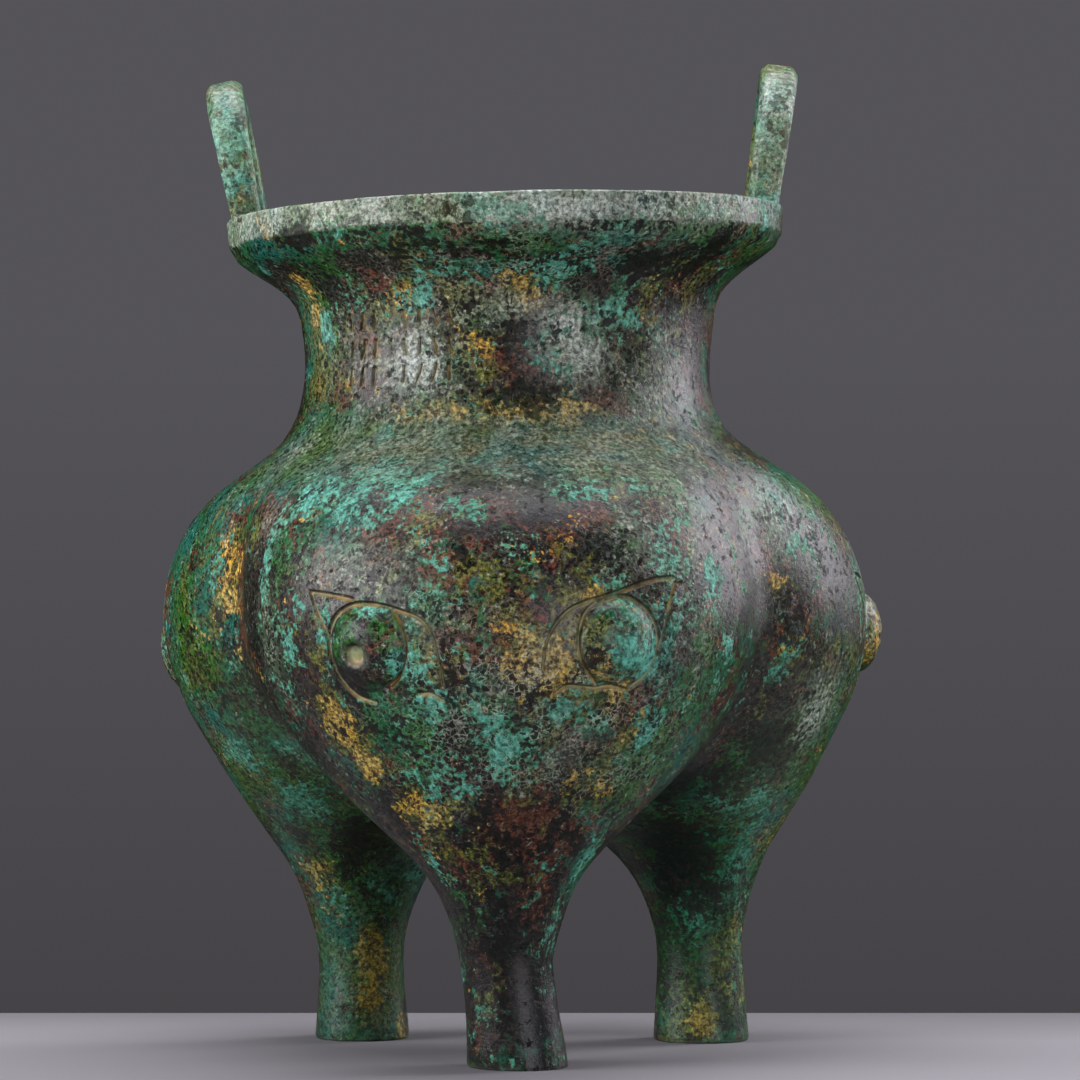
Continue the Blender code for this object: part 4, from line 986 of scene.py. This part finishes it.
threads = add_node(tree, "ShaderNodeTexNoise", {"Vector": place, "Scale": 330.0, "Detail": 4.0}).outputs["Fac"]
filled = add_node(tree, "ShaderNodeMapRange", {0: threads, 1: 0.38, 2: 0.54, 3: 0.25, 4: 0.95}).outputs[0]
# Carved lines: painted shadow on the upper wall, pale earth and painted light on the lower wall.
skin = laid_over(skin, zone("groove brow"), 0.8, colour(0.006, 0.005, 0.003))
skin = laid_over(skin, zone("groove foot"), filled, blend(tree, shade, colour(0.40, 0.27, 0.08), colour(0.30, 0.31, 0.17)))
# The pupil: painted shadow on its upper wall, pale earth and painted light on its lower wall.
height_in_pupil = zone("pupil height")
foot = add_node(tree, "ShaderNodeMapRange", {0: height_in_pupil, 1: -0.2, 2: -0.8}).outputs[0]
upper_wall_shadow = add_node(tree, "ShaderNodeMapRange", {0: height_in_pupil, 1: 0.1, 2: 0.65}).outputs[0]
pit_earth_light_and_shadow = blend(tree, foot, colour(0.24, 0.27, 0.12), colour(0.50, 0.40, 0.21))
pit_earth_light_and_shadow = blend(tree, upper_wall_shadow, pit_earth_light_and_shadow, colour(0.012, 0.012, 0.006))
skin = laid_over(skin, zone("pupil"), 0.9, pit_earth_light_and_shadow)

rubbed_edge_highlight = add_node(tree, "ShaderNodeGroup", node_tree=RUBBED_EDGE_HIGHLIGHT)
tree.links.new(place, rubbed_edge_highlight.inputs["Vector"])
rubbed_edge_highlight.inputs["Amount"].default_value = 0.5
# Sharp edges painted pale: rubbed metal, and a painted highlight along edges such as the handles' chamfers.
skin = blend(tree, rubbed_edge_highlight.outputs["Mask"], skin, colour(0.42, 0.42, 0.38))
tree.links.new(skin, shader.inputs["Base Color"])

crust = maths(tree, "MAXIMUM", green, maths(tree, "MAXIMUM", ochre, maths(tree, "MULTIPLY", film, 0.3)))
dull = add_node(tree, "ShaderNodeMapRange", {0: crust, 3: 0.30, 4: 0.55}).outputs[0]
dull = maths(tree, "MULTIPLY_ADD", maths(tree, "SUBTRACT", grain, 0.5), 0.25, dull)
dull = maths(tree, "MULTIPLY_ADD", zone("dirt"), 0.10, dull, clamp=True)
tree.links.new(dull, shader.inputs["Roughness"])
shader.inputs["Specular IOR Level"].default_value = 0.27

height = maths(tree, "MULTIPLY_ADD", ochre_thick, 0.4, green_thick)
height = maths(tree, "MULTIPLY_ADD", grain, 0.9, height)
height = maths(tree, "MULTIPLY_ADD", pits, -0.7, height)
bump = add_node(tree, "ShaderNodeBump", {"Height": height, "Strength": 0.7, "Distance": 0.00022})
tree.links.new(bump.outputs["Normal"], shader.inputs["Normal"])
vessel.data.materials.clear()
vessel.data.materials.append(patina)
print("patina nodes:", len(tree.nodes))

# %% [markdown]
# ## Hand the new skin over to the part
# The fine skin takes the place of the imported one. It moves with the part's only body.

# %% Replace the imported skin
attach(vessel, "root")
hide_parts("vessel")

# %% [markdown]
# ## The studio
# A pale floor that ends a little way behind the vessel, painted darker towards the back as painted
# shade, a grey backdrop that is only the world's colour, and three soft lights: two large ones at
# the sides and one overhead.

# %% Floor, light and camera
AXIS = (0.0044, 0.0053)
bpy.ops.mesh.primitive_plane_add(size=1, location=(0, AXIS[1] + 0.085 - 0.25, 0))
floor = bpy.context.object
floor.name = "floor"
floor.scale = (1.0, 0.5, 1)
bpy.ops.object.transform_apply(location=True, rotation=False, scale=True)
paper = bpy.data.materials.new("pale floor")
paper.use_nodes = True
ground = paper.node_tree
# The floor is painted darker towards the back: painted shade.
inwards = add_node(ground, "ShaderNodeSeparateXYZ", {0: add_node(ground, "ShaderNodeTexCoord").outputs["Object"]})
nearer = add_node(ground, "ShaderNodeMapRange", {0: inwards.outputs["Y"], 1: 0.09, 2: 0.02}).outputs[0]
grey = blend(ground, nearer, colour(0.105, 0.103, 0.106), colour(0.215, 0.212, 0.217))
ground.links.new(grey, ground.nodes["Principled BSDF"].inputs["Base Color"])
paper.node_tree.nodes["Principled BSDF"].inputs["Roughness"].default_value = 0.9
floor.data.materials.append(paper)

world = bpy.data.worlds.new("studio")
bpy.context.scene.world = world
world.use_nodes = True
backdrop = world.node_tree
upwards = add_node(backdrop, "ShaderNodeSeparateXYZ", {0: add_node(backdrop, "ShaderNodeTexCoord").outputs["Generated"]})
climb = add_node(backdrop, "ShaderNodeMapRange", {0: upwards.outputs["Z"], 1: -0.10, 2: 0.06}).outputs[0]
seen = blend(backdrop, climb, colour(0.055, 0.052, 0.057), colour(0.090, 0.087, 0.098))
seen_directly = add_node(backdrop, "ShaderNodeLightPath").outputs["Is Camera Ray"]
light = blend(backdrop, seen_directly, colour(0.013, 0.0125, 0.014), seen)
backdrop.links.new(light, backdrop.nodes["Background"].inputs["Color"])


def soft_light(name, azimuth, elevation, distance, width, height, watts):
    """A softbox that faces the vessel. Azimuth 0 is in front, and it grows towards +X."""
    turn, climb = math.radians(azimuth), math.radians(elevation)
    place = Vector((math.sin(turn) * math.cos(climb), -math.cos(turn) * math.cos(climb), math.sin(climb)))
    bpy.ops.object.light_add(type="AREA", location=place * distance + Vector((*AXIS, 0.10)))
    light = bpy.context.object
    light.name = name
    light.rotation_euler = place.to_track_quat("Z", "Y").to_euler()
    light.data.shape = "RECTANGLE"
    light.data.size, light.data.size_y = width, height
    light.data.energy = watts
    light.data.color = (0.95, 0.91, 1.0)
    return light


soft_light("left softbox", -68, 14, 0.8, 0.50, 0.40, 7.4)
soft_light("front right softbox", 30, 2, 1.0, 0.24, 0.20, 4.3)
soft_light("back right softbox", 116, 24, 0.8, 0.35, 0.60, 6.2)
soft_light("overhead", 180, 84, 0.8, 0.8, 0.5, 12.0)

EYE = (0.00443, -0.9617, 0.08796)
bpy.ops.object.camera_add(location=EYE, rotation=(math.pi / 2, 0, 0))
camera = bpy.context.object
camera.data.lens = 156.67
camera.data.sensor_width = 36
camera.data.shift_y = 80 / 1080
bpy.context.scene.camera = camera
bpy.context.scene.view_settings.view_transform = "Standard"
